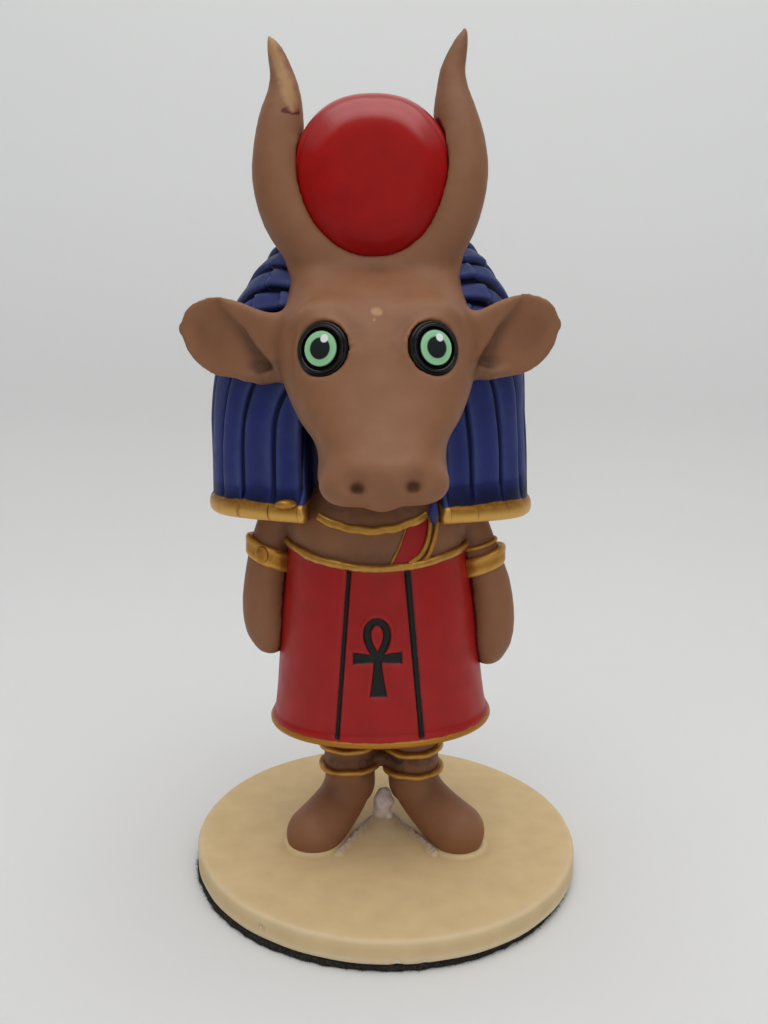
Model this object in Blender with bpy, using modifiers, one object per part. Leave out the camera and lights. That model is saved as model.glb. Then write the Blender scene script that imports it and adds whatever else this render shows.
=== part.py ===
"""Small painted resin figure of a cow-headed goddess with horns, a sun disc and a striped wig.

The figure and its round base are one casting. Two glossy eyes sit in sockets of the head, and a thin
felt pad is glued under the base. X runs to the viewer's right, the figure looks along -Y, Z is up, and
the origin is the centre of the pad's underside.
"""
import math

import bmesh
import bpy
from mathutils import Matrix, Vector

MM = 0.001

# Driving dimensions
FIGURE_HEIGHT = 103.8 * MM      # from the top of the base to the horn tips
BASE_DIAMETER = 52.0 * MM
BASE_THICKNESS = 3.0 * MM
BASE_TOP_ROUNDING = 0.5 * MM
PAD_INSET = 0.3 * MM            # how far the pad's edge stays inside the base's
PAD_DIAMETER = BASE_DIAMETER - 2 * PAD_INSET
PAD_THICKNESS = 0.7 * MM
GLUE_FILM = 0.3 * MM            # between the pad and the base
BASE_TOP = PAD_THICKNESS + GLUE_FILM + BASE_THICKNESS
MERGE_DISTANCE = 0.01 * MM

# The figure is drawn in units of a figure 103.8 units tall, with z = 0 on the base top
UNIT = FIGURE_HEIGHT / 103.8
EYE_DIAMETER = 6.5 * UNIT
EYE_DEPTH = 1.8 * UNIT          # how far an eye goes into the head
EYE_CROWN = 0.8 * UNIT          # how far its dome stands out
EYE_CLEARANCE = 0.3 * UNIT
SOCKET_REACH = 6.0 * UNIT       # how far outwards a socket is cut
EYE_SPACING = 12.6 * UNIT       # between the eyes' middles
EYE_HEIGHT = 66.8 * UNIT        # above the base
EYE_TURN = math.radians(24.5)   # each eye looks this far out to its side
EYE_TILT = math.radians(10)     # and this far up
ANKH_DEPTH = 0.55 * UNIT        # incised into the dress
ANKH_STROKE = 1.05 * UNIT
ANKH_HALF_WIDTH = 3.05 * UNIT
ANKH_BAR_HEIGHT = 28.75 * UNIT  # above the base
ANKH_TOP = 33.9 * UNIT
ANKH_BOTTOM = 23.8 * UNIT
DISC_HEIGHT = 86.0 * UNIT       # of its middle above the base
DISC_RADIUS = 10.1 * UNIT
DISC_HALF_THICKNESS = 3.2 * UNIT
DISC_RIM_ROUNDING = 2.0 * UNIT
PLEAT_WIDTH = 0.5 * UNIT
PLEAT_DEPTH = 0.5 * UNIT
WIG_GROOVE_DEPTH = 0.6 * UNIT
FIGURE_LEAN = math.radians(2.1)  # the casting leans towards the viewer's left
HEAD_TURN = math.radians(2.3)    # and its head turns towards the viewer's right

SIDES_BASE = 56
SIDES_BODY = 32
SIDES_EYE = 24
WIG_STRANDS = 26

COLOURS = {
    "figure": ((0.23, 0.12, 0.07, 1.0), 0.55),
    "left_eye": ((0.02, 0.02, 0.02, 1.0), 0.12),
    "right_eye": ((0.02, 0.02, 0.02, 1.0), 0.12),
    "felt_pad": ((0.02, 0.018, 0.016, 1.0), 0.95),
}


def clear_scene():
    """Remove every object of the open scene."""
    for item in list(bpy.data.objects):
        bpy.data.objects.remove(item, do_unlink=True)


def new_collection(name):
    """Make a collection and link it to the scene."""
    collection = bpy.data.collections.new(name)
    bpy.context.scene.collection.children.link(collection)
    return collection


def place(name, mesh, collection):
    """Put a mesh into the collection as a named object."""
    item = bpy.data.objects.new(name, mesh)
    collection.objects.link(item)
    return item


def at(x, y, z):
    """A point of the drawn figure, from units to metres."""
    return Vector((x, y, z)) * UNIT


def follow(stations, key):
    """Read the smooth curve through rows of (key, value, value, ...) at a key between them."""
    rows = sorted(stations)
    if key <= rows[0][0]:
        return list(rows[0][1:])
    if key >= rows[-1][0]:
        return list(rows[-1][1:])
    index = max(i for i in range(len(rows) - 1) if rows[i][0] <= key)
    low, high = rows[index], rows[index + 1]
    before = rows[max(index - 1, 0)]
    after = rows[min(index + 2, len(rows) - 1)]
    span = high[0] - low[0]
    t = (key - low[0]) / span
    values = []
    for column in range(1, len(low)):
        slope_low = (high[column] - before[column]) / (high[0] - before[0]) * span
        slope_high = (after[column] - low[column]) / (after[0] - low[0]) * span
        values.append(
            low[column] * (2 * t**3 - 3 * t**2 + 1)
            + slope_low * (t**3 - 2 * t**2 + t)
            + high[column] * (3 * t**2 - 2 * t**3)
            + slope_high * (t**3 - t**2)
        )
    return values


def oval(centre_x, middle_y, half_width, front, back, z, power=2.0, sides=SIDES_BODY, slope=0.0):
    """A rounded section: half_width to each side, front and back reaches, seen from above."""
    ring = []
    for i in range(sides):
        angle = math.tau * i / sides
        c, s = math.cos(angle), math.sin(angle)
        x = half_width * math.copysign(abs(c) ** (2 / power), c)
        y = (back if s > 0 else front) * math.copysign(abs(s) ** (2 / power), s)
        ring.append(at(centre_x + x, middle_y + y, z + slope * x))
    return ring


def loft(name, rings, collection):
    """Skin a stack of rings with equal point counts, first to last, and close both ends."""
    body = bmesh.new()
    layers = [[body.verts.new(point) for point in ring] for ring in rings]
    count = len(rings[0])
    for low, high in zip(layers, layers[1:]):
        for i in range(count):
            j = (i + 1) % count
            body.faces.new((low[i], low[j], high[j], high[i]))
    for layer, flip in ((layers[0], True), (layers[-1], False)):
        middle = body.verts.new(sum((v.co for v in layer), Vector()) / count)
        for i in range(count):
            a, b = layer[i], layer[(i + 1) % count]
            body.faces.new((b, a, middle) if flip else (a, b, middle))
    bmesh.ops.remove_doubles(body, verts=body.verts, dist=MERGE_DISTANCE)
    bmesh.ops.recalc_face_normals(body, faces=body.faces)
    mesh = bpy.data.meshes.new(name)
    body.to_mesh(mesh)
    body.free()
    return place(name, mesh, collection)


def evaluated_mesh(item, name):
    """Read an object as a plain welded mesh, in world space, and remove the object."""
    graph = bpy.context.evaluated_depsgraph_get()
    mesh = bpy.data.meshes.new_from_object(item.evaluated_get(graph))
    mesh.transform(item.matrix_world)
    body = bmesh.new()
    body.from_mesh(mesh)
    bmesh.ops.remove_doubles(body, verts=body.verts, dist=MERGE_DISTANCE / 10)
    bmesh.ops.recalc_face_normals(body, faces=body.faces)
    body.to_mesh(mesh)
    body.free()
    mesh.name = name
    bpy.data.objects.remove(item, do_unlink=True)
    return mesh


def limb(name, stations, sides, steps, collection):
    """A tapering round limb through rows of (x, y, z, radius) units, with rounded ends."""
    rows = [(float(i), *row) for i, row in enumerate(stations)]
    points = [follow(rows, (len(rows) - 1) * i / steps) for i in range(steps + 1)]
    first, last = points[0], points[-1]
    head = (Vector(first[:3]) - Vector(points[1][:3])).normalized()
    tail = (Vector(last[:3]) - Vector(points[-2][:3])).normalized()
    for reach, share in ((0.55, 0.83), (0.9, 0.44)):
        points.insert(0, [*(Vector(first[:3]) + head * first[3] * reach), first[3] * share])
        points.append([*(Vector(last[:3]) + tail * last[3] * reach), last[3] * share])
    curve = bpy.data.curves.new(name, "CURVE")
    curve.dimensions = "3D"
    curve.bevel_depth = UNIT
    curve.bevel_resolution = max(sides // 4 - 1, 0)
    curve.use_fill_caps = True
    spline = curve.splines.new("POLY")
    spline.points.add(len(points) - 1)
    for knot, (x, y, z, radius) in zip(spline.points, points):
        knot.co = (*at(x, y, z), 1.0)
        knot.radius = radius
    item = place(name, curve, collection)
    return place(name, evaluated_mesh(item, name), collection)


def turned(name, profile, sides, collection):
    """Turn a profile of (radius, height), read from its top down its outer side, about Z."""
    mesh = bpy.data.meshes.new(name)
    edges = [(i, i + 1) for i in range(len(profile) - 1)]
    mesh.from_pydata([(radius, 0.0, height) for radius, height in profile], edges, [])
    item = place(name, mesh, collection)
    screw = item.modifiers.new("turn", "SCREW")
    screw.steps = sides
    screw.render_steps = sides
    screw.use_merge_vertices = True
    screw.merge_threshold = MERGE_DISTANCE
    screw.use_normal_calculate = True
    return place(name, evaluated_mesh(item, name), collection)


def prism(name, outline, near, far, collection, holes=()):
    """A flat outline of (x, z) metres, extruded along Y from near to far, with optional holes."""
    curve = bpy.data.curves.new(name, "CURVE")
    curve.dimensions = "2D"
    curve.fill_mode = "BOTH"
    curve.extrude = (far - near) / 2
    for loop in (outline, *holes):
        spline = curve.splines.new("POLY")
        spline.points.add(len(loop) - 1)
        for knot, (x, z) in zip(spline.points, loop):
            knot.co = (x, z, 0.0, 1.0)
        spline.use_cyclic_u = True
    item = place(name, curve, collection)
    item.matrix_world = Matrix.Translation((0, (near + far) / 2, 0)) @ Matrix.Rotation(math.pi / 2, 4, "X")
    bpy.context.view_layer.update()
    return place(name, evaluated_mesh(item, name), collection)


def combine(target, others, operation):
    """Join or cut the target with all the other solids in one exact Boolean, and remove the others."""
    group = bpy.data.collections.new("operands")
    for other in others:
        group.objects.link(other)
    modifier = target.modifiers.new(operation.lower(), "BOOLEAN")
    modifier.operation = operation
    modifier.solver = "EXACT"
    modifier.operand_type = "COLLECTION"
    modifier.collection = group
    graph = bpy.context.evaluated_depsgraph_get()
    mesh = bpy.data.meshes.new_from_object(target.evaluated_get(graph))
    target.modifiers.clear()
    target.data = mesh
    for other in others:
        bpy.data.objects.remove(other, do_unlink=True)
    bpy.data.collections.remove(group)
    return target


def move(item, matrix):
    """Move an object's mesh itself, so that its place is in its points."""
    item.data.transform(matrix)
    return item


def mirrored(sides_of):
    """Call a maker for the viewer's left (-1) and right (+1) side."""
    return [sides_of(side) for side in (-1, 1)]


# Body: rows of (z, half width, front reach, back reach)
CHEST = [(38.0, 11.2, 10.4, 9.2), (41.0, 11.5, 10.3, 9.0), (45.0, 12.2, 9.3, 8.6), (48.0, 10.0, 8.3, 8.0),
         (51.0, 7.6, 7.2, 7.0), (56.0, 6.4, 6.4, 6.5)]
DRESS_HEM = [(19.4, 11.5, 9.2, 9.2), (17.2, 14.3, 11.4, 11.2), (17.5, 15.0, 12.1, 11.9),
             (18.5, 14.9, 12.0, 11.8)]
DRESS_WALL = [(19.0, 14.3, 11.6, 11.4), (22.0, 13.9, 11.5, 11.1), (27.0, 13.4, 11.4, 10.8),
              (33.0, 12.8, 11.1, 10.3), (39.0, 11.8, 10.7, 9.7)]
PLEATS = [((-3.7, 38.6), (-5.8, 19.6)), ((3.3, 38.6), (4.8, 19.6))]   # (x, z) of each line's two ends
DRESS_BAND = [(39.3, 12.3, 11.3, 10.2), (40.4, 12.3, 11.2, 10.1), (40.7, 11.7, 10.5, 9.5)]
HEAD = [  # z, half width, front y, middle y, back y
    (48.5, 2.2, -21.5, -18.5, -15.5), (49.0, 4.3, -23.6, -18.2, -13.5), (50.3, 6.3, -25.3, -17.8, -11.5),
    (52.4, 7.4, -26.3, -17.5, -9.5), (54.6, 7.2, -26.2, -16.5, -7.5), (56.6, 7.7, -24.6, -15.0, -6.0),
    (58.6, 9.2, -23.1, -13.0, -4.0), (61.5, 10.7, -21.4, -10.5, -1.0), (64.3, 11.7, -20.0, -8.0, 2.0),
    (67.3, 12.0, -18.6, -6.5, 5.0), (71.0, 11.2, -17.0, -5.5, 7.0), (73.8, 10.2, -14.9, -4.5, 8.0),
    (75.6, 9.7, -12.4, -4.0, 8.0), (76.8, 9.2, -9.4, -3.5, 7.5), (78.4, 6.5, -6.0, -2.0, 5.5)]
WIG = [  # share of the way from crown to hem, share of the half width, z
    (0.0, 0.0, 83.4), (0.13, 0.25, 82.7), (0.26, 0.47, 80.9), (0.36, 0.61, 78.6), (0.46, 0.74, 75.6),
    (0.56, 0.845, 72.0), (0.66, 0.925, 67.8), (0.76, 0.97, 62.6), (0.88, 0.99, 55.6), (1.0, 1.0, 48.2)]
WIG_HALF_WIDTH = 20.9
WIG_FRONT = 11.8
WIG_BACK = 13.2
WIG_MIDDLE_Y = 1.2
WIG_POLE_TILT = math.radians(52)   # the strands start at the brow and fall to the hem
WIG_TRIM_TOP = 48.2
WIG_TRIM_BOTTOM = 46.0
WIG_SHIFT = -1.1                   # its lower part stands a little to the viewer's left
WIG_NOTCH = [(-8.7, 40.0), (-7.6, 62.0), (7.2, 62.0), (7.6, 40.0)]   # (x, z) of the opening in front
STRAP = [(1.4, 40.0), (2.8, 42.3), (4.8, 45.6), (6.6, 47.6), (8.6, 47.6), (7.8, 43.0), (6.9, 40.0)]
LEG = [(7.0, 3.2), (9.0, 3.3), (9.3, 4.15), (10.3, 4.3), (10.6, 3.5), (12.0, 3.4), (12.3, 3.9),
       (13.3, 4.0), (13.6, 3.5), (16.5, 3.9), (20.5, 4.2)]   # (z, radius)
LEG_LEFT, LEG_RIGHT = -4.85, 3.95  # the middles of the two legs
ARMBAND = [(39.3, 2.6), (39.4, 3.0), (40.5, 3.1), (41.6, 2.9), (41.7, 2.5)]   # (z, radius)
HORN = [  # x, y, z, radius
    (4.6, -4.8, 74.8, 4.2), (8.0, -4.9, 78.5, 4.0), (10.3, -4.8, 82.3, 3.6), (11.1, -4.4, 86.5, 3.25),
    (10.9, -3.9, 90.2, 2.9), (10.3, -3.4, 93.7, 2.3), (10.0, -3.0, 96.6, 1.85), (10.3, -2.8, 99.5, 1.3),
    (11.0, -2.8, 101.9, 0.75), (11.5, -2.8, 103.1, 0.3)]
EAR = [  # x, middle z, half height, y
    (9.5, 67.3, 3.0, -6.8), (12.7, 67.5, 3.6, -7.6), (16.0, 68.0, 4.5, -7.8), (18.9, 68.4, 4.75, -7.4),
    (21.2, 68.8, 3.9, -6.9), (22.7, 69.2, 2.5, -6.6), (23.4, 69.4, 0.9, -6.5)]
WEB = [(-2.6, -0.4, 10.6, 1.3), (-0.4, -0.2, 10.5, 1.15), (1.8, -0.4, 10.3, 1.3)]
GLUE_LUMP = [(-0.5, -1.9, 3.2, 1.5), (-0.4, -2.1, 4.4, 1.6), (-0.4, -1.9, 5.4, 1.3)]


def make_base(collection):
    """The round cast base, with a softly rounded top edge."""
    radius = BASE_DIAMETER / 2
    rounding = BASE_TOP_ROUNDING
    bottom = BASE_TOP - BASE_THICKNESS
    corner = []
    for i in range(3):
        angle = math.pi / 2 * (1 - i / 2)
        inset, drop = rounding * (1 - math.cos(angle)), rounding * (1 - math.sin(angle))
        corner.append((radius - inset, BASE_TOP - drop))
    foot = 0.2 * rounding
    profile = [(0.0, BASE_TOP), *corner, (radius, bottom + foot), (radius - foot, bottom), (0.0, bottom)]
    return turned("figure", profile, SIDES_BASE, collection)


def make_pad(collection):
    """The felt disc under the base."""
    radius = PAD_DIAMETER / 2
    return turned("felt_pad", [(0.0, PAD_THICKNESS), (radius, PAD_THICKNESS), (radius, 0.0), (0.0, 0.0)],
                  SIDES_BASE, collection)


def make_dress(collection):
    """The dress from its gold hem to its gold waistband, hollowed a little below."""
    rings = []
    for z, width, front, back in DRESS_HEM + DRESS_WALL + DRESS_BAND:
        rings.append(oval(-0.4, 0.0, width, front, back, z, 2.1))
    return loft("dress", rings, collection)


def make_chest(collection, proud=0.0):
    """Chest, shoulders and neck. proud makes the same form larger, for what lies on it."""
    rings = []
    for z, width, front, back in CHEST:
        rings.append(oval(-0.3, 0.0, width + proud, front + proud, back + proud, z, 2.2, 28))
    return loft("chest", rings, collection)


def make_strap(collection):
    """The shoulder strap on the viewer's right, a raised band on the chest."""
    strap = prism("strap", [(x * UNIT, z * UNIT) for x, z in STRAP], -14 * UNIT, -5 * UNIT, collection)
    return combine(strap, [make_chest(collection, proud=0.4)], "INTERSECT")


def make_necklace(collection):
    """A thin round cord of gold low on the neck."""
    stations = []
    for i in range(9):
        x = -8.4 + 15.6 * i / 8
        across = (x + 0.6) / 7.8
        z = 44.8 + 1.7 * across**2
        width, front, _ = follow(CHEST, z)
        y = -front * (1 - abs((x + 0.3) / width) ** 2.2) ** (1 / 2.2)
        stations.append((x, y, z, 0.55))
    return limb("necklace", stations, 8, 8, collection)


def make_arm(side, collection):
    """An arm hanging at the side, with a mitten hand and a gold armband."""
    drop = -1.05 * (1 + side)
    x, spread = (15.1, 0.5) if side < 0 else (14.4, 1.0)
    stations = [(x - 2.2 - spread, 0.5, 47.5, 2.5), (x - 0.9 - spread, 0.2, 44.0, 2.5),
                (x - spread, 0.0, 41.0, 2.6), (x, -0.3, 37.5, 2.9), (x + 0.3, -0.6, 33.5, 3.15),
                (x + 0.2, -1.0, 30.6, 2.9), (x - 0.2, -1.2, 28.6, 2.2)]
    rows = [(side * px, py, pz + drop, radius) for px, py, pz, radius in stations]
    arm = limb("arm", rows, 12, 7, collection)
    rings = []
    for z, radius in ARMBAND:
        rings.append(oval(side * (x - spread), 0.0, radius, radius, radius, z + drop, 2.0, 20, side * 0.35))
    return combine(arm, [loft("armband", rings, collection)], "UNION")


def make_leg(side, collection):
    """A leg with two anklets, drawn from inside the dress down into the foot."""
    x = LEG_LEFT if side < 0 else LEG_RIGHT
    drop = 0.35 * (1 + side)
    rings = [oval(x, 0.0, radius, radius, radius, z - drop * (z < 14), 2.0, 14) for z, radius in LEG]
    return loft("leg", rings, collection)


def make_foot(side, collection):
    """A soft boot, toes turned out, its sole sunk into the base."""
    x = LEG_LEFT if side < 0 else LEG_RIGHT
    rows = [(x, 0.4, 9.4, 3.15), (x + 0.1 * side, 0.2, 6.4, 3.35), (x + 0.7 * side, -1.4, 3.6, 4.1),
            (x + 2.4 * side, -3.6, 2.7, 4.7), (x + 4.0 * side, -5.2, 2.5, 4.3)]
    return limb("foot", rows, 12, 8, collection)


def make_web(collection):
    """The web of casting that joins the legs between the anklets."""
    return limb("web", WEB, 8, 3, collection)


def make_glue(collection):
    """The lump of glue stuck between the feet."""
    return limb("glue", GLUE_LUMP, 8, 3, collection)


def head_side(z, x):
    """The front y of the head's surface at a height and a place across it."""
    width, front, middle, _ = follow(HEAD, z)
    share = min(abs(x) / width, 1.0)
    return middle + (front - middle) * (1 - share**2.4) ** (1 / 2.4)


def make_head(collection):
    """The cow's head, wide at the eyes, with a narrow brow and a square muzzle."""
    rings = []
    for z, width, front, middle, back in HEAD:
        rings.append(oval(0.0, middle, width, middle - front, back - middle, z, 2.4, 36))
    head = loft("head", rings, collection)
    for side in (-1, 1):
        centre = at(side * 3.05, head_side(52.6, 3.05) - 0.2, 52.6)
        half_circle = [math.pi * i / 6 for i in range(7)]
        nostril = turned("nostril", [(math.sin(a), math.cos(a)) for a in half_circle], 12, collection)
        size = Matrix.Diagonal((0.95 * UNIT, 0.8 * UNIT, 0.7 * UNIT, 1.0))
        move(nostril, Matrix.Translation(centre) @ size)
        combine(head, [nostril], "DIFFERENCE")
    return head


def make_horn(side, collection):
    """A horn that rises beside the disc, bends in and points up and out at its tip."""
    return limb("horn", [(side * x, y, z, radius) for x, y, z, radius in HORN], 12, 12, collection)


def make_disc(collection):
    """The sun disc between the horns, thick, with rounded rims."""
    flat, half = DISC_RADIUS - DISC_RIM_ROUNDING, DISC_HALF_THICKNESS
    face = 0.96 * flat
    profile = [(0.0, half), (face, 0.97 * half)]
    for i in range(1, 6):
        angle = math.pi / 2 - math.pi * i / 6
        profile.append((flat + DISC_RIM_ROUNDING * math.cos(angle), 0.88 * half * math.sin(angle)))
    profile += [(face, -0.97 * half), (0.0, -half)]
    disc = turned("disc", profile, 32, collection)
    middle = at(0.2, -5.0, DISC_HEIGHT / UNIT)
    return move(disc, Matrix.Translation(middle) @ Matrix.Rotation(math.pi / 2, 4, "X"))


def make_ear(side, collection):
    """A cupped, leaf-shaped ear that stands out beside the head."""
    reach = 1.0 if side < 0 else 0.96
    rings = []
    for x, z, half, y in EAR:
        fullness = half / 4.75
        cup = 1.5 * min(1.0, (x - 9.5) / 5.0) * fullness
        thick = 1.7 * fullness**0.5
        ring = []
        for i in range(16):
            angle = math.tau * i / 16
            up, out = math.cos(angle), math.sin(angle)
            deep = y + thick * out + cup * (1 - up * up)
            ring.append(at(side * x * reach, deep, z - 0.2 * (1 + side) + half * up))
        rings.append(ring)
    return loft("ear", rings, collection)


def wig_point(around, down, depth):
    """A point of the wig: around from the front, down its strand from the brow, cut to a depth."""
    reach = math.pi * 0.5
    polar = reach * down
    x = math.sin(polar) * math.sin(around)
    y = -math.sin(polar) * math.cos(around)
    z = math.cos(polar)
    ease = 1 - down * down * (3 - 2 * down)
    tilt = WIG_POLE_TILT * ease
    y, z = y * math.cos(tilt) - z * math.sin(tilt), y * math.sin(tilt) + z * math.cos(tilt)
    way = math.acos(max(-1.0, min(1.0, z))) / reach
    level = math.hypot(x, y) or 1.0
    share, height = follow(WIG, way)
    width = WIG_HALF_WIDTH * share - depth
    front = WIG_FRONT * share - depth
    back = WIG_BACK * share - depth
    dx, dy = x / level, y / level
    shift = WIG_SHIFT * min(1.0, max(0.0, (78.0 - height) / 20.0))
    return at(shift + width * dx, WIG_MIDDLE_Y + (back if dy > 0 else front) * dy, height)


def make_wig(collection):
    """The striped wig, its strands cut by grooves, with a smooth gold trim along the hem."""
    groove = WIG_GROOVE_DEPTH / UNIT
    rings = []
    for down in (0.12, 0.25, 0.38, 0.5, 0.63, 0.76, 0.9, 1.0):
        ring = []
        for strand in range(WIG_STRANDS):
            for place_in, depth in ((0.0, groove), (0.11, 0.0), (0.89, 0.0)):
                around = math.tau * (strand + place_in) / WIG_STRANDS
                ring.append(wig_point(around, down, depth))
        rings.append(ring)
    hem = rings[-1]
    for z, swell in ((WIG_TRIM_TOP - 0.1, 0.35), (WIG_TRIM_BOTTOM + 0.3, 0.4), (WIG_TRIM_BOTTOM, 0.0)):
        ring = []
        for point in hem:
            x, y = point.x / UNIT - WIG_SHIFT, point.y / UNIT - WIG_MIDDLE_Y
            reach = WIG_BACK if y > 0 else WIG_FRONT
            angle = math.atan2(y / reach, x / WIG_HALF_WIDTH)
            ring.append(at(WIG_SHIFT + (WIG_HALF_WIDTH + swell) * math.cos(angle),
                           WIG_MIDDLE_Y + (reach + swell) * math.sin(angle), z))
        rings.append(ring)
    wig = loft("wig", rings, collection)
    outline = [(x * UNIT, z * UNIT) for x, z in WIG_NOTCH]
    return combine(wig, [prism("notch", outline, -20 * UNIT, -4 * UNIT, collection)], "DIFFERENCE")


def dress_front(x, z):
    """The front y of the dress at a place across it and a height."""
    width, front, _ = follow(DRESS_WALL, z)
    return -front * (1 - abs((x + 0.4) / width) ** 2.1) ** (1 / 2.1)


def pleat_cutter(top, bottom, collection):
    """A thin wedge that cuts one pleat line down the front of the dress."""
    depth = PLEAT_DEPTH / UNIT
    half = PLEAT_WIDTH / UNIT / 2
    rings = []
    for i in range(5):
        x = bottom[0] + (top[0] - bottom[0]) * i / 4
        z = bottom[1] + (top[1] - bottom[1]) * i / 4
        inner = dress_front(x, z) + depth
        outer = inner - 4
        corners = ((x - half, inner), (x - half, outer), (x + half, outer), (x + half, inner))
        rings.append([at(px, py, z) for px, py in corners])
    return loft("pleat", rings, collection)


def ankh_cutters(collection):
    """The loop, the arms and the stem of the ankh that is cut into the dress."""
    stroke = ANKH_STROKE
    centre_x, bar_z = -0.45 * UNIT, ANKH_BAR_HEIGHT
    inner = dress_front(centre_x / UNIT, bar_z / UNIT) * UNIT + ANKH_DEPTH
    outer = inner - 4 * UNIT

    def drop(width, bottom, top):
        """A drop-shaped loop with its point down."""
        points = []
        for i in range(18):
            angle = math.tau * i / 18
            up = (1 - math.cos(angle)) / 2
            across = math.sin(angle) * math.sin(angle / 2) ** 0.8
            points.append((centre_x + width * across, bottom + (top - bottom) * up))
        return points

    loop_width = 0.67 * ANKH_HALF_WIDTH
    outside = drop(loop_width, bar_z, ANKH_TOP)
    hollow = drop(loop_width - stroke, bar_z + 1.1 * stroke, ANKH_TOP - stroke)
    loop = prism("loop", outside, outer, inner, collection, holes=[hollow])

    def bar(near, far, half_near, half_far):
        """A stroke that widens from near to far."""
        along = (Vector(far) - Vector(near)).normalized()
        side = Vector((-along.y, along.x))
        corners = [Vector(near) - side * half_near, Vector(far) - side * half_far,
                   Vector(far) + side * half_far, Vector(near) + side * half_near]
        return prism("bar", [tuple(corner) for corner in corners], outer, inner, collection)

    thin, wide = 0.42 * stroke, 0.72 * stroke
    cross = (centre_x, bar_z)
    arms = [bar(cross, (centre_x + side * ANKH_HALF_WIDTH, bar_z), thin, wide) for side in (-1, 1)]
    stem = bar((centre_x, bar_z + 0.6 * stroke), (centre_x, ANKH_BOTTOM), thin, 1.05 * stroke)
    return [loop, *arms, stem]


def eye_frame(side):
    """Where an eye sits on the head and where it looks, as a matrix with +Z outwards."""
    x, z = EYE_SPACING / 2 / UNIT, EYE_HEIGHT / UNIT
    centre = Matrix.Translation(at(side * x, head_side(z, x) + 0.15, z))
    turn = Matrix.Rotation(side * EYE_TURN, 4, "Z") @ Matrix.Rotation(math.pi / 2 - EYE_TILT, 4, "X")
    return Matrix.Rotation(HEAD_TURN, 4, "Z") @ centre @ turn


def make_eye(side, name, collection):
    """A moulded eye: a raised ring round a stepped dome, with a short round body behind."""
    radius = EYE_DIAMETER / 2
    steps = [(0.0, 1.0), (0.4, 0.85), (0.64, 0.5), (0.72, 0.25), (0.84, 0.55), (0.94, 0.45), (1.0, 0.1)]
    profile = [(reach * radius, height * EYE_CROWN) for reach, height in steps]
    profile += [(radius, -EYE_DEPTH), (0.0, -EYE_DEPTH)]
    return move(turned(name, profile, SIDES_EYE, collection), eye_frame(side))


def socket_cutter(side, collection):
    """The round pocket that an eye sits in, clear of it all round."""
    radius = EYE_DIAMETER / 2 + EYE_CLEARANCE
    bottom = -EYE_DEPTH - EYE_CLEARANCE
    profile = [(0.0, SOCKET_REACH), (radius, SOCKET_REACH), (radius, bottom), (0.0, bottom)]
    return move(turned("socket", profile, SIDES_EYE, collection), eye_frame(side))


def make_figure(parts, cutters):
    """Cast every form of the figure and the base as one solid, then cut its sockets and lines."""
    dress = make_dress(cutters)
    pleats = [pleat_cutter(top, bottom, cutters) for top, bottom in PLEATS]
    combine(dress, pleats + ankh_cutters(cutters), "DIFFERENCE")
    head = move(make_head(cutters), Matrix.Rotation(HEAD_TURN, 4, "Z"))
    forms = [dress, make_chest(cutters), make_strap(cutters), make_necklace(cutters), make_wig(cutters), head,
             make_disc(cutters), make_web(cutters), make_glue(cutters)]
    for maker in (make_horn, make_ear, make_arm, make_leg, make_foot):
        forms += mirrored(lambda side: maker(side, cutters))
    for form in forms:
        move(form, lean_matrix())
    figure = combine(make_base(parts), forms, "UNION")
    sockets = mirrored(lambda side: move(socket_cutter(side, cutters), lean_matrix()))
    return combine(figure, sockets, "DIFFERENCE")


def lean_matrix():
    """Stand the drawn figure on the base top and lean it to the viewer's left."""
    return Matrix.Translation((0, 0, BASE_TOP)) @ Matrix.Rotation(-FIGURE_LEAN, 4, "Y")


def paint(item):
    """Give an object its own plain material."""
    colour, roughness = COLOURS[item.name]
    material = bpy.data.materials.new(item.name)
    material.use_nodes = True
    shader = material.node_tree.nodes["Principled BSDF"]
    shader.inputs["Base Color"].default_value = colour
    shader.inputs["Roughness"].default_value = roughness
    shader.inputs["Metallic"].default_value = 0.0
    item.data.materials.clear()
    item.data.materials.append(material)
    item.data.shade_smooth()
    item.data.set_sharp_from_angle(angle=math.radians(40))


def main():
    clear_scene()
    parts = new_collection("hathor_statue")
    cutters = new_collection("cutters")
    figure = make_figure(parts, cutters)
    eyes = [make_eye(-1, "left_eye", parts), make_eye(1, "right_eye", parts)]
    for eye in eyes:
        move(eye, lean_matrix())
    for item in (figure, *eyes, make_pad(parts)):
        paint(item)


main()
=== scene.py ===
# Looks of the painted resin figure of a cow-headed goddess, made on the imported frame.
import math

import bmesh
import bpy
import numpy as np
from mathutils import Matrix, Vector


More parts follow.
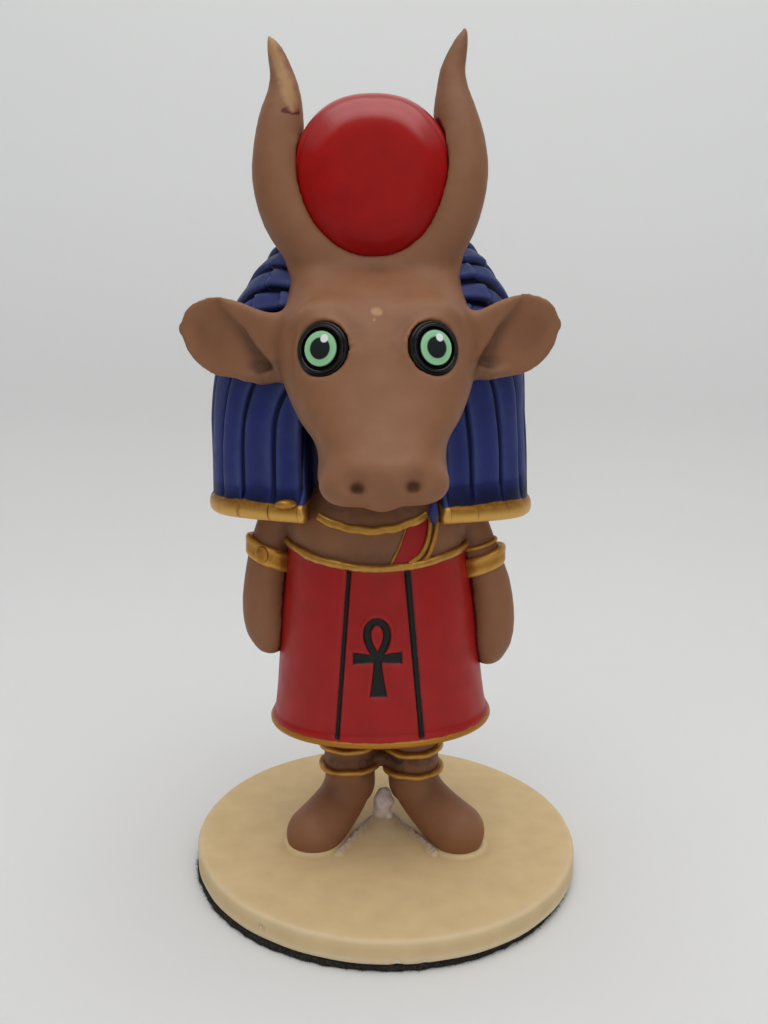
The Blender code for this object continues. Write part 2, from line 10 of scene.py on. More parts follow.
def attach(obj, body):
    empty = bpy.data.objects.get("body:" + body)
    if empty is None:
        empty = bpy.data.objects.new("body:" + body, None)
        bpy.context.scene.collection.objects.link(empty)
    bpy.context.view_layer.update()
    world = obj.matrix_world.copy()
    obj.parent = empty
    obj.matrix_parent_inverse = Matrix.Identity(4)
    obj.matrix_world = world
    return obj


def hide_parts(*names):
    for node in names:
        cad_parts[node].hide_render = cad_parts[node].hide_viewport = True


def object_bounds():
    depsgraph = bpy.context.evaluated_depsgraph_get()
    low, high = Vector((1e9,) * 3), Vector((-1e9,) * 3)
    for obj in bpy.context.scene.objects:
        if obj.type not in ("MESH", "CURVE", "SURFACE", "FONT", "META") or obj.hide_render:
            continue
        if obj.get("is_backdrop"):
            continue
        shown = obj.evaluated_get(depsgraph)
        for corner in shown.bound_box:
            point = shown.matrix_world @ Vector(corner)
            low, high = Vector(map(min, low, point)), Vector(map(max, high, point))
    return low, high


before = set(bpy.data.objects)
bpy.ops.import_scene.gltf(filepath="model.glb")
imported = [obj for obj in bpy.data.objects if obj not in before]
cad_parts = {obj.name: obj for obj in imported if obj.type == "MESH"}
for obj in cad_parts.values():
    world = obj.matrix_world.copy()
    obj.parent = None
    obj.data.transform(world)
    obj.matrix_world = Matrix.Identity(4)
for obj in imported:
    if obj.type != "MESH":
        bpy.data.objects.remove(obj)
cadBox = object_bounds()
scene = bpy.context.scene
mm = 0.001
print("frame loaded:", sorted(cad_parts))

# Shapes are drawn in millimetres, z = 0 on the base top, and then stood up and leaned as the solid is
stance = {"baseTop": 4.0, "lean": math.radians(2.1), "headTurn": math.radians(2.3)}
rng = np.random.default_rng(7)


def newObject(name, data):
    item = bpy.data.objects.new(name, data)
    scene.collection.objects.link(item)
    return item


# Camera

cameraSetup = {"place": (-1.0, -123.7, 72.3), "down": 10.6, "roll": 0.92, "lens": 33.4, "clip": (0.005, 10)}


def makeCamera():
    data = bpy.data.cameras.new("photoCamera")
    data.sensor_width = 36
    data.lens = cameraSetup["lens"]
    data.clip_start, data.clip_end = cameraSetup["clip"]
    camera = newObject("photoCamera", data)
    tilt = Matrix.Rotation(math.radians(90 - cameraSetup["down"]), 4, "X")
    roll = Matrix.Rotation(math.radians(cameraSetup["roll"]), 4, "Z")
    camera.matrix_world = Matrix.Translation([v * mm for v in cameraSetup["place"]]) @ tilt @ roll
    scene.camera = camera


makeCamera()
print("camera placed")


# Helpers for meshes

def stand(points, turned=False):
    # from drawn millimetres to metres in the world; the head is turned first
    x, y, z = np.asarray(points, float).T
    if turned:
        c, s = math.cos(stance["headTurn"]), math.sin(stance["headTurn"])
        x, y = x * c - y * s, x * s + y * c
    c, s = math.cos(stance["lean"]), math.sin(stance["lean"])
    return np.stack([x * c - z * s, y, x * s + z * c + stance["baseTop"]], 1) * mm


def addMark(mesh, label, values):
    attribute = mesh.attributes.new(label, "FLOAT", "POINT")
    attribute.data.foreach_set("value", np.asarray(values, np.float32))


def meshPiece(name, points, faces, marks=None):
    # points in metres; each mark holds one value for every point
    mesh = bpy.data.meshes.new(name)
    mesh.from_pydata(np.asarray(points, float).tolist(), [], faces)
    item = newObject(name, mesh)
    for label, values in (marks or {}).items():
        addMark(mesh, label, values)
    body = bmesh.new()
    body.from_mesh(mesh)
    bmesh.ops.recalc_face_normals(body, faces=body.faces)
    body.to_mesh(mesh)
    body.free()
    mesh.shade_smooth()
    mesh.update()
    return item


def readRows(rows, key):
    # the smooth curve through rows of (key, value, value, ...), read at many keys
    table = np.array(sorted(rows), float)
    keys, values = table[:, 0], table[:, 1:]
    last = len(keys) - 1
    after = np.minimum(np.arange(last + 1) + 1, last)
    before = np.maximum(np.arange(last + 1) - 1, 0)
    slopes = (values[after] - values[before]) / (keys[after] - keys[before])[:, None]
    key = np.clip(np.asarray(key, float), keys[0], keys[-1])
    i = np.clip(np.searchsorted(keys, key, side="right") - 1, 0, last - 1)
    span = (keys[i + 1] - keys[i])[..., None]
    t = (key[..., None] - keys[i][..., None]) / span
    return (values[i] * (2 * t**3 - 3 * t**2 + 1) + slopes[i] * span * (t**3 - 2 * t**2 + t)
            + values[i + 1] * (3 * t**2 - 2 * t**3) + slopes[i + 1] * span * (t**3 - t**2))


def evenRows(rows, count):
    # the smooth curve through rows of values, read at evenly spaced places
    return readRows([(i, *row) for i, row in enumerate(rows)], np.linspace(0, len(rows) - 1, count))


def step01(value, low, high):
    t = np.clip((value - low) / (high - low), 0, 1)
    return t * t * (3 - 2 * t)


def fullTurn(count):
    return np.linspace(0, math.tau, count, endpoint=False)


def squarer(wave, power):
    # a sine or cosine whose circle is drawn out to a squarer outline
    return np.sign(wave) * np.abs(wave)**(2 / power)


def gridFaces(rows, columns):
    # quads of a grid whose rows are closed rings
    r, c = np.meshgrid(np.arange(rows - 1), np.arange(columns), indexing="ij")
    here, right = r * columns + c, r * columns + (c + 1) % columns
    return np.stack([here, right, right + columns, here + columns], -1).reshape(-1, 4)


def closedPiece(name, grid, marks=None, turned=False, standing=True):
    # a piece of stacked rings (rows, columns, 3), with a fan at both ends; each mark is a grid too
    rows, columns = grid.shape[:2]
    points = np.concatenate([grid.reshape(-1, 3), grid[0].mean(0)[None], grid[-1].mean(0)[None]])
    faces = gridFaces(rows, columns).tolist()
    for first, middle in ((0, rows * columns), ((rows - 1) * columns, rows * columns + 1)):
        faces += [[first + c, first + (c + 1) % columns, middle] for c in range(columns)]
    full = {label: np.concatenate([values.ravel(), [values[0].mean(), values[-1].mean()]])
            for label, values in (marks or {}).items()}
    return meshPiece(name, stand(points, turned) if standing else points * mm, faces, full)


def relax(points, edges, rounds, strength=0.5):
    # even out points along the mesh's edges
    total = len(points)
    first, second = edges.T
    count = np.bincount(edges.ravel(), minlength=total)[:, None]
    for _ in range(rounds):
        near = np.stack([np.bincount(first, values[second], total) + np.bincount(second, values[first], total)
                         for values in points.T], 1)
        points = points + strength * (near / count - points)
    return points


def meshValues(items, label, width, kind=float):
    values = np.zeros(len(items) * width, kind)
    items.foreach_get(label, values)
    return values.reshape(-1, width)


def markHollows(item, rounds, reach):
    # hollow and ridge, 0 to 1: how far each point lies under or over its surroundings
    mesh = item.data
    points = meshValues(mesh.vertices, "co", 3) / mm
    normals = meshValues(mesh.vertex_normals, "vector", 3, np.float32)
    edges = meshValues(mesh.edges, "vertices", 2, np.int32)
    rise = ((points - relax(points, edges, rounds)) * normals).sum(1) / reach
    rise = relax(rise[:, None], edges, 2)[:, 0]
    addMark(mesh, "hollow", np.clip(-rise, 0, 1))
    addMark(mesh, "ridge", np.clip(rise, 0, 1))


def dressUp(item, material, nodes):
    item.data.materials.clear()
    item.data.materials.append(material)
    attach(item, "root")
    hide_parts(*nodes)


# Moulds: soft cast forms, each a distance field on a grid, skinned where the distance is zero

def newMould(low, high, step):
    axes = [np.arange(a, b + step, step) for a, b in zip(low, high)]
    return {"axes": axes, "step": step, "field": np.full([len(axis) for axis in axes], 9.0, np.float32)}


def pour(mould, low, high, form, soft=0.5, carve=False):
    # join a form to the mould, or carve it out, with a soft crease
    spans = [slice(*np.searchsorted(axis, (a, b))) for axis, a, b in zip(mould["axes"], low, high)]
    window = tuple(spans)
    x, y, z = np.ix_(*[axis[span] for axis, span in zip(mould["axes"], spans)])
    distance = form(x, y, z)
    sign = -1.0 if carve else 1.0
    old = sign * mould["field"][window]
    near = np.maximum(soft - np.abs(old - distance), 0) / soft
    mould["field"][window] = sign * (np.minimum(old, distance) - near * near * soft / 4)


def evenOut(values, step):
    a, b, c = np.gradient(values, step)
    return values / np.sqrt(a * a + b * b + c * c + 1e-5)


def ballForm(centre, reach, turn=0.0):
    # an egg: its reach along X, Y and Z, turned about Y
    c, s = math.cos(turn), math.sin(turn)

    def form(x, y, z):
        dx, dy, dz = x - centre[0], y - centre[1], z - centre[2]
        a, b, d = (dx * c - dz * s) / reach[0], dy / reach[1], (dx * s + dz * c) / reach[2]
        length = np.sqrt(a * a + b * b + d * d) + 1e-6
        slope = np.sqrt((a / reach[0])**2 + (b / reach[1])**2 + (d / reach[2])**2) + 1e-6
        return length * (length - 1) / slope
    return form


def limbForm(rows, steps):
    # a limb along rows of (x, y, z, radius)
    knots = evenRows(rows, steps + 1)

    def form(x, y, z):
        nearest = None
        for a, b in zip(knots, knots[1:]):
            d = b[:3] - a[:3]
            t = np.clip(((x - a[0]) * d[0] + (y - a[1]) * d[1] + (z - a[2]) * d[2]) / (d @ d), 0, 1)
            away = np.sqrt((x - a[0] - t * d[0])**2 + (y - a[1] - t * d[1])**2 + (z - a[2] - t * d[2])**2)
            reach = away - (a[3] + t * (b[3] - a[3]))
            nearest = reach if nearest is None else np.minimum(nearest, reach)
        return nearest
    return form


def stackForm(rows, power, step, shift=0.0):
    # sections stacked along z: rows of (z, half width, front y, middle y, back y)
    def form(x, y, z):
        width, front, middle, back = np.moveaxis(readRows(rows, z[0, 0]), -1, 0)
        width, middle = width[None, None], middle[None, None]
        reach = np.where(y > middle, back[None, None] - middle, middle - front[None, None])
        inside = (np.abs((x - shift) / width)**power + np.abs((y - middle) / reach)**power)**(1 / power)
        # a flared end reads too close from the side, so the level distance is the floor
        distance = np.maximum(evenOut(inside - 1, step), 0.5 * (inside - 1) * width)
        ends = np.maximum(rows[0][0] - z, z - rows[-1][0])
        return np.maximum(np.clip(distance, -6, 6), ends)
    return form


cubeEdges = [((0, 0, 0), (1, 0, 0)), ((0, 1, 0), (1, 1, 0)), ((0, 0, 1), (1, 0, 1)), ((0, 1, 1), (1, 1, 1)),
             ((0, 0, 0), (0, 1, 0)), ((1, 0, 0), (1, 1, 0)), ((0, 0, 1), (0, 1, 1)), ((1, 0, 1), (1, 1, 1)),
             ((0, 0, 0), (0, 0, 1)), ((1, 0, 0), (1, 0, 1)), ((0, 1, 0), (0, 1, 1)), ((1, 1, 0), (1, 1, 1))]


def skin(mould, rounds=3):
    # one point in each cell that the surface crosses, joined to quads
    field = mould["field"]
    inside = field < 0
    nx, ny, nz = field.shape
    corners = sum(inside[i:nx - 1 + i, j:ny - 1 + j, k:nz - 1 + k].astype(np.int8)
                  for i in (0, 1) for j in (0, 1) for k in (0, 1))
    mixed = (corners > 0) & (corners < 8)
    number = np.full(mixed.shape, -1)
    number[mixed] = np.arange(mixed.sum())
    cells = np.argwhere(mixed)
    total, count = np.zeros((len(cells), 3)), np.zeros(len(cells))
    for a, b in cubeEdges:
        low, high = field[tuple((cells + a).T)], field[tuple((cells + b).T)]
        crossed = (low < 0) != (high < 0)
        t = np.where(crossed, low / np.where(crossed, low - high, 1), 0)[:, None]
        total += crossed[:, None] * (np.array(a) + (np.array(b) - np.array(a)) * t)
        count += crossed
    points = (cells + total / count[:, None]) * mould["step"] + [axis[0] for axis in mould["axes"]]
    faces = []
    for axis in range(3):
        one, two = [k for k in range(3) if k != axis]
        ahead = np.moveaxis(inside, axis, 0)
        low, high = np.moveaxis(ahead[:-1], 0, axis), np.moveaxis(ahead[1:], 0, axis)
        for outward in (True, False):
            found = np.argwhere((low & ~high) if outward else (~low & high))
            found = found[(found[:, one] > 0) & (found[:, two] > 0)]
            found = found[(found[:, one] < field.shape[one] - 1) & (found[:, two] < field.shape[two] - 1)]
            quad = []
            for i, j in ((1, 1), (0, 1), (0, 0), (1, 0)):
                cell = found.copy()
                cell[:, one] -= i
                cell[:, two] -= j
                quad.append(number[tuple(cell.T)])
            quad = np.stack(quad, 1)
            faces.append(quad if outward == (axis != 1) else quad[:, ::-1])
    faces = np.concatenate(faces)
    edges = np.concatenate([faces[:, [k, (k + 1) % 4]] for k in range(4)])
    edges = np.unique(np.sort(edges, 1), axis=0)
    return relax(points, edges, rounds), faces.tolist()


def readField(mould, x, y, z):
    # the mould's distance at points anywhere inside its box
    place = []
    for values, axis in zip((x, y, z), mould["axes"]):
        place.append(np.clip((np.asarray(values, float) - axis[0]) / mould["step"], 0, len(axis) - 1.001))
    low = [p.astype(int) for p in place]
    t = [p - q for p, q in zip(place, low)]
    value = 0
    for i in (0, 1):
        for j in (0, 1):
            for k in (0, 1):
                share = (t[0] if i else 1 - t[0]) * (t[1] if j else 1 - t[1]) * (t[2] if k else 1 - t[2])
                value = value + share * mould["field"][low[0] + i, low[1] + j, low[2] + k]
    return value


# Materials

def add(tree, kind, inputs=None, **settings):
    node = tree.nodes.new(kind)
    for key, value in settings.items():
        setattr(node, key, value)
    for key, value in (inputs or {}).items():
        if isinstance(value, bpy.types.NodeSocket):
            tree.links.new(value, node.inputs[key])
        else:
            node.inputs[key].default_value = value
    return node


def maths(tree, operation, a, b=0.0):
    return add(tree, "ShaderNodeMath", {0: a, 1: b}, operation=operation).outputs[0]


def blendColour(tree, share, a, b):
    return add(tree, "ShaderNodeMix", {0: share, 6: a, 7: b}, data_type="RGBA").outputs[2]


def mark(tree, label):
    return add(tree, "ShaderNodeAttribute", attribute_name=label).outputs["Fac"]


def objectPlace(tree):
    # object coordinates in millimetres
    place = add(tree, "ShaderNodeTexCoord").outputs["Object"]
    return add(tree, "ShaderNodeVectorMath", {0: place, "Scale": 1000.0}, operation="SCALE").outputs[0]


def objectNoise(tree, scale, detail):
    inputs = {"Vector": objectPlace(tree), "Scale": scale, "Detail": detail}
    return add(tree, "ShaderNodeTexNoise", inputs).outputs[0]


def mapRange(tree, value, low, high, first, last):
    return add(tree, "ShaderNodeMapRange", {0: value, 1: low, 2: high, 3: first, 4: last}).outputs[0]


def spread(tree, noise, first, last):
    # the middle of a noise's range, drawn out from first to last
    return mapRange(tree, noise, 0.3, 0.7, first, last)


def newGroup(name, inputs, outputs):
    group = bpy.data.node_groups.new(name, "ShaderNodeTree")
    for label, kind, value in inputs:
        socket = group.interface.new_socket(label, in_out="INPUT", socket_type=kind)
        socket.default_value = value
    for label, kind in outputs:
        group.interface.new_socket(label, in_out="OUTPUT", socket_type=kind)
    return group, group.nodes.new("NodeGroupInput"), group.nodes.new("NodeGroupOutput")


number, colour = "NodeSocketFloat", "NodeSocketColor"


def makePaintEdge():
    # where a painted area ends: a distance mark, made to wander by noise
    group, given, out = newGroup("paintEdge", [("Distance", number, 0.0), ("Wander", number, 0.3),
                                               ("Scale", number, 1.0), ("Softness", number, 0.06)],
                                 [("Mask", number)])
    noise = objectNoise(group, given.outputs["Scale"], 3.0)
    shift = maths(group, "MULTIPLY", maths(group, "SUBTRACT", noise, 0.5), given.outputs["Wander"])
    value = maths(group, "ADD", given.outputs["Distance"], shift)
    soft = maths(group, "DIVIDE", value, given.outputs["Softness"])
    group.links.new(mapRange(group, soft, -1.0, 1.0, 1.0, 0.0), out.inputs["Mask"])
    return group


def makeCastGrain():
    # the fine bumps of a resin casting under paint
    group, given, out = newGroup("castGrain", [("Scale", number, 1.0), ("Pits", number, 0.3)],
                                 [("Height", number), ("Mottle", number)])
    place = add(group, "ShaderNodeVectorMath", {0: objectPlace(group), "Scale": given.outputs["Scale"]},
                operation="SCALE").outputs[0]
    broad = add(group, "ShaderNodeTexNoise", {"Vector": place, "Scale": 0.35, "Detail": 4.0}).outputs[0]
    fine = add(group, "ShaderNodeTexNoise", {"Vector": place, "Scale": 5.0, "Detail": 3.0}).outputs[0]
    cells = add(group, "ShaderNodeTexVoronoi", {"Vector": place, "Scale": 0.8}).outputs["Distance"]
    pit = maths(group, "MULTIPLY", mapRange(group, cells, 0.03, 0.09, 1.0, 0.0), given.outputs["Pits"])
    height = maths(group, "SUBTRACT", maths(group, "MULTIPLY", fine, 0.25), pit)
    group.links.new(maths(group, "ADD", height, maths(group, "MULTIPLY", broad, 0.6)), out.inputs["Height"])
    group.links.new(broad, out.inputs["Mottle"])
    return group


def makeWashShadeWearHighlight():
    # dark wash and painted shade in the hollows, and worn paint and a painted highlight along the ridges
    group, given, out = newGroup("washShadeWearHighlight", [
        ("Color", colour, (0.5, 0.5, 0.5, 1)), ("WashShade", colour, (0.05, 0.03, 0.02, 1)),
        ("WornHighlight", colour, (0.6, 0.5, 0.4, 1)), ("WashShadeAmount", number, 0.8), ("WornHighlightAmount", number, 0.4),
        ("Hollow", number, 0.0), ("Ridge", number, 0.0)], [("Color", colour)])
    patchy = maths(group, "ADD", 0.55, maths(group, "MULTIPLY", objectNoise(group, 0.9, 5.0), 0.9))
    tone = given.outputs["Color"]
    for label, paint, amount in (("Hollow", "WashShade", "WashShadeAmount"), ("Ridge", "WornHighlight", "WornHighlightAmount")):
        share = maths(group, "MULTIPLY", given.outputs[label], patchy)
        share = maths(group, "MULTIPLY", share, given.outputs[amount])
        share = add(group, "ShaderNodeClamp", {0: share}).outputs[0]
        tone = blendColour(group, share, tone, given.outputs[paint])
    group.links.new(tone, out.inputs["Color"])
    return group


paintEdge, castGrain, washShadeWearHighlight = makePaintEdge(), makeCastGrain(), makeWashShadeWearHighlight()

tones = {
    "skin": (0.275, 0.120, 0.056), "skinDeep": (0.225, 0.092, 0.040), "skinWashShade": (0.05, 0.020, 0.010),
    "skinWornHighlight": (0.36, 0.19, 0.10), "skinShade": (0.022, 0.008, 0.004), "skinBare": (0.42, 0.23, 0.10),
    "red": (0.40, 0.006, 0.005), "redDeep": (0.25, 0.003, 0.003), "redWornHighlight": (0.42, 0.05, 0.045),
    "redSpill": (0.11, 0.008, 0.008), "darkLine": (0.004, 0.0035, 0.0035),
    "blue": (0.013, 0.022, 0.155), "blueDeep": (0.003, 0.005, 0.035), "blueWornHighlight": (0.08, 0.11, 0.26),
    "blueGrooveWashShade": (0.003, 0.004, 0.012),
    "gold": (0.46, 0.20, 0.022), "goldDull": (0.24, 0.10, 0.018), "goldDeep": (0.10, 0.035, 0.006),
    "goldBright": (0.68, 0.38, 0.09),
    "cream": (0.74, 0.55, 0.29), "creamDeep": (0.44, 0.28, 0.13), "creamPale": (0.78, 0.66, 0.48),
    "creamRidge": (0.52, 0.41, 0.34), "chip": (0.75, 0.72, 0.66),
    "eyeBlack": (0.005, 0.005, 0.005), "eyeGreen": (0.36, 0.70, 0.40), "eyeDeep": (0.26, 0.55, 0.30),
    "pupil": (0.012, 0.016, 0.016), "glint": (0.9, 0.9, 0.9),
    "glue": (0.72, 0.64, 0.60), "glueDeep": (0.50, 0.41, 0.38),
    "felt": (0.012, 0.011, 0.010), "feltPale": (0.05, 0.045, 0.04),
    "paper": (0.78, 0.79, 0.785), "paperPale": (0.80, 0.80, 0.795), "paperLit": (0.87, 0.885, 0.88),
}
paints = {name: (*tone, 1) for name, tone in tones.items()}


def placeGroup(tree, group, inputs):
    return add(tree, "ShaderNodeGroup", inputs, node_tree=group)


def paintedArea(tree, label, wander, scale, softness):
    # 1 inside the area that the distance mark draws, and 0 outside
    inputs = {"Distance": mark(tree, label), "Wander": wander, "Scale": scale, "Softness": softness}
    return placeGroup(tree, paintEdge, inputs).outputs[0]


def mottledPaint(tree, scale, pits, main, deep, share):
    # the casting's grain, and a paint over it that is deeper in patches
    grain = placeGroup(tree, castGrain, {"Scale": scale, "Pits": pits})
    height, mottle = grain.outputs["Height"], grain.outputs["Mottle"]
    return height, mottle, blendColour(tree, spread(tree, mottle, 0.0, share), paints[main], paints[deep])


def washShadeWearHighlightColour(tree, tone, washShadeTone, wornHighlightTone, washShadeShare, wornHighlightShare):
    # the first tone is dark wash and painted shade for the hollows, the second worn paint and a painted
    # highlight for the ridges
    inputs = {"Color": tone, "WashShade": paints[washShadeTone], "WornHighlight": paints[wornHighlightTone], "WashShadeAmount": washShadeShare, "WornHighlightAmount": wornHighlightShare,
              "Hollow": mark(tree, "hollow"), "Ridge": mark(tree, "ridge")}
    return placeGroup(tree, washShadeWearHighlight, inputs).outputs["Color"]


def newMaterial(name, roughness, coat=0.0, coatRoughness=0.2, metallic=0.0, specular=0.3):
    material = bpy.data.materials.new(name)
    material.use_nodes = True
    shader = material.node_tree.nodes["Principled BSDF"]
    for label, value in (("Roughness", roughness), ("Coat Weight", coat), ("Coat Roughness", coatRoughness),
                         ("Metallic", metallic), ("Specular IOR Level", specular)):
        shader.inputs[label].default_value = value
    return material, material.node_tree, shader


def wire(tree, shader, colourSocket, height=None, depth=0.03, roughness=None):
    # depth of the bumps in millimetres
    tree.links.new(colourSocket, shader.inputs["Base Color"])
    if roughness is not None:
        tree.links.new(roughness, shader.inputs["Roughness"])
    if height is not None:
        bump = add(tree, "ShaderNodeBump", {"Height": height, "Distance": depth * mm, "Strength": 1.0})
        tree.links.new(bump.outputs[0], shader.inputs["Normal"])


def skinMaterial():
    material, tree, shader = newMaterial("brownPaint", 0.52, coat=0.06, coatRoughness=0.45)
    height, mottle, tone = mottledPaint(tree, 1.0, 0.35, "skin", "skinDeep", 0.55)
    # dark wash and painted shade in the hollows, worn paint and a painted highlight on the ridges
    painted = washShadeWearHighlightColour(tree, tone, "skinWashShade", "skinWornHighlight", 0.5, 0.12)
    # painted shade in the creases and hollows and under the head, and darker towards the horn tips, made
    # patchy by noise
    paintedShade = maths(tree, "MULTIPLY", mark(tree, "paintedShade"), spread(tree, objectNoise(tree, 1.3, 5.0), 0.35, 1.0))
    painted = blendColour(tree, paintedShade, painted, paints["skinShade"])
    painted = blendColour(tree, paintedArea(tree, "redSpill", 0.9, 0.8, 0.08), painted, paints["redSpill"])
    painted = blendColour(tree, paintedArea(tree, "bareStreak", 1.2, 0.9, 0.35), painted, paints["skinBare"])
    wire(tree, shader, painted, height, 0.035, spread(tree, mottle, 0.48, 0.6))
    return material


def redMaterial(name, gloss, specular):
    material, tree, shader = newMaterial(name, 0.42, coat=gloss, coatRoughness=0.28, specular=specular)
    height, mottle, tone = mottledPaint(tree, 1.1, 0.4, "red", "redDeep", 0.4)
    # dark wash and painted shade in the hollows, worn paint and a painted highlight on the ridges
    painted = washShadeWearHighlightColour(tree, tone, "redDeep", "redWornHighlight", 0.8, 0.35)
    painted = blendColour(tree, paintedArea(tree, "darkLineDistance", 0.16, 2.2, 0.05), painted, paints["darkLine"])
    gilt = paintedArea(tree, "giltDistance", 0.3, 0.7, 0.06)
    painted = blendColour(tree, gilt, painted, paints["gold"])
    tree.links.new(maths(tree, "MULTIPLY", gilt, 0.55), shader.inputs["Metallic"])
    wire(tree, shader, painted, height, 0.03, spread(tree, mottle, 0.38, 0.5))
    return material


def discMaterial():
    # the red with thicker, brushed varnish where the gloss mark is high
    material = redMaterial("discPaint", 0.2, 0.1)
    tree = material.node_tree
    coat = tree.nodes["Principled BSDF"].inputs["Coat Weight"]
    tree.links.new(spread(tree, mark(tree, "gloss"), 0.12, 0.9), coat)
    return material


def blueMaterial():
    material, tree, shader = newMaterial("bluePaint", 0.42, coat=0.04, coatRoughness=0.35, specular=0.22)
    height, mottle, tone = mottledPaint(tree, 1.2, 0.5, "blue", "blueDeep", 0.35)
    # dark wash and painted shade in the hollows, worn paint and pale painted highlight lines on the ridges
    painted = washShadeWearHighlightColour(tree, tone, "blueDeep", "blueWornHighlight", 1.2, 0.6)
    # darker lines along the wig's grooves and lock steps: dark wash and painted shade
    painted = blendColour(tree, paintedArea(tree, "darkLineDistance", 0.12, 2.0, 0.06), painted, paints["blueGrooveWashShade"])
    brush = spread(tree, objectNoise(tree, 1.6, 4.0), 0.0, 0.6)
    gold = blendColour(tree, brush, paints["gold"], paints["goldDeep"])
    # brighter gold on the ridges of the trim: a painted highlight
    gold = blendColour(tree, mark(tree, "ridge"), gold, paints["goldBright"])
    gilt = paintedArea(tree, "giltDistance", 0.9, 0.28, 0.07)
    painted = blendColour(tree, gilt, painted, gold)
    tree.links.new(maths(tree, "MULTIPLY", gilt, 0.6), shader.inputs["Metallic"])
    rough = maths(tree, "SUBTRACT", spread(tree, mottle, 0.38, 0.5), maths(tree, "MULTIPLY", gilt, 0.06))
    wire(tree, shader, painted, height, 0.035, rough)
    return material


def goldMaterial():
    material, tree, shader = newMaterial("goldPaint", 0.36, metallic=0.6)
    grain = placeGroup(tree, castGrain, {"Scale": 1.6, "Pits": 0.5})
    brush = objectNoise(tree, 1.4, 5.0)
    tone = blendColour(tree, spread(tree, brush, 0.0, 0.55), paints["gold"], paints["goldDull"])
    # dark wash and painted shade in the hollows, and the bright gold on the ridges is worn paint and a
    # painted highlight
    painted = washShadeWearHighlightColour(tree, tone, "goldDeep", "goldBright", 1.3, 0.8)
    wire(tree, shader, painted, grain.outputs["Height"], 0.05, spread(tree, brush, 0.3, 0.45))
    return material


def creamMaterial():
    material, tree, shader = newMaterial("creamPaint", 0.62)
    height, mottle, tone = mottledPaint(tree, 0.9, 0.6, "cream", "creamDeep", 0.22)
    # dark wash and painted shade in the hollows, worn paint and a painted highlight on the ridges
    painted = washShadeWearHighlightColour(tree, tone, "creamDeep", "creamPale", 0.9, 0.5)
    ridge = maths(tree, "MULTIPLY", paintedArea(tree, "paleRidge", 0.5, 1.5, 0.25), 0.8)
    painted = blendColour(tree, ridge, painted, paints["creamRidge"])
    painted = blendColour(tree, paintedArea(tree, "chipDistance", 0.9, 1.6, 0.06), painted, paints["chip"])
    wire(tree, shader, painted, height, 0.03, spread(tree, mottle, 0.56, 0.68))
    return material


def mixedMaterial(name, roughness, scale, detail, main, deep, depth, **settings):
    # a plain stuff of two tones mixed by noise, which also raises its bumps
    material, tree, shader = newMaterial(name, roughness, **settings)
    noise = objectNoise(tree, scale, detail)
    tone = blendColour(tree, spread(tree, noise, 0.0, 1.0), paints[main], paints[deep])
    wire(tree, shader, tone, noise, depth)
    return material, shader


eyes = {"radius": 3.03, "crown": 0.75, "depth": 1.8, "across": {-1: -6.3, 1: 5.93},
        "height": {-1: 66.8, 1: 66.65}, "out": 24.5, "up": 10.0, "rings": 90, "columns": 96,
        "green": 0.635, "greenDeep": 0.5, "pupil": 0.40, "glint": (0.16, 0.36), "glintSize": 0.15,
        "profile": [  # share of the radius, share of the crown
            (0.02, 1.0), (0.15, 0.995), (0.3, 0.97), (0.45, 0.91), (0.58, 0.83), (0.635, 0.78), (0.665, 0.55),
            (0.69, 0.2), (0.72, 0.12), (0.745, 0.3), (0.78, 0.62), (0.83, 0.78), (0.88, 0.72), (0.905, 0.5),
            (0.92, 0.42), (0.95, 0.45), (0.985, 0.3), (1.0, 0.0), (1.0, -0.6), (1.0, -2.25)]}


def eyeMaterial():
    # the painted rings of the eye, by its own across and up marks in eye radii
    material, tree, shader = newMaterial("glossyEye", 0.09, specular=0.35)
    across, up = mark(tree, "eyeAcross"), mark(tree, "eyeUp")

    def ring(radius, centre=(0.0, 0.0), soft=0.02):
        squares = []
        for place, middle in zip((across, up), centre):
            away = maths(tree, "SUBTRACT", place, middle)
            squares.append(maths(tree, "MULTIPLY", away, away))
        away = maths(tree, "SQRT", maths(tree, "ADD", *squares))
        return mapRange(tree, away, radius - soft, radius + soft, 1.0, 0.0)

    green = blendColour(tree, ring(eyes["greenDeep"], soft=0.2), paints["eyeGreen"], paints["eyeDeep"])
    painted = blendColour(tree, ring(eyes["green"]), paints["eyeBlack"], green)
    painted = blendColour(tree, ring(eyes["pupil"]), painted, paints["pupil"])
    wire(tree, shader, blendColour(tree, ring(eyes["glintSize"], eyes["glint"]), painted, paints["glint"]))
    return material


print("paints mixed")


# Head with horns and ears, cast as one

headRows = [  # z, half width, front y, middle y, back y
    (49.5, 1.6, -21.5, -18.5, -15.5), (50.0, 3.4, -23.4, -18.2, -13.5), (50.4, 4.9, -24.6, -18.0, -12.3),
    (51.0, 6.0, -25.5, -17.8, -11.2), (52.4, 7.3, -26.3, -17.5, -9.5), (54.6, 7.2, -26.2, -16.5, -7.5),
    (56.6, 7.7, -24.6, -15.0, -6.0), (58.6, 9.2, -23.1, -13.0, -4.0), (61.5, 10.7, -21.4, -10.5, -1.0),
    (64.3, 11.7, -20.0, -8.0, 2.0), (67.3, 12.0, -18.6, -6.5, 5.0), (69.5, 11.6, -17.2, -6.0, 6.2),
    (71.5, 11.1, -15.2, -5.5, 7.2), (73.3, 10.4, -12.8, -4.8, 8.0), (74.8, 9.6, -10.2, -4.2, 8.0),
    (76.2, 8.4, -7.6, -3.6, 7.8), (77.6, 6.8, -5.8, -2.6, 6.8), (79.0, 4.8, -4.6, -1.6, 5.2),
    (80.4, 2.5, -3.2, -0.8, 2.8)]
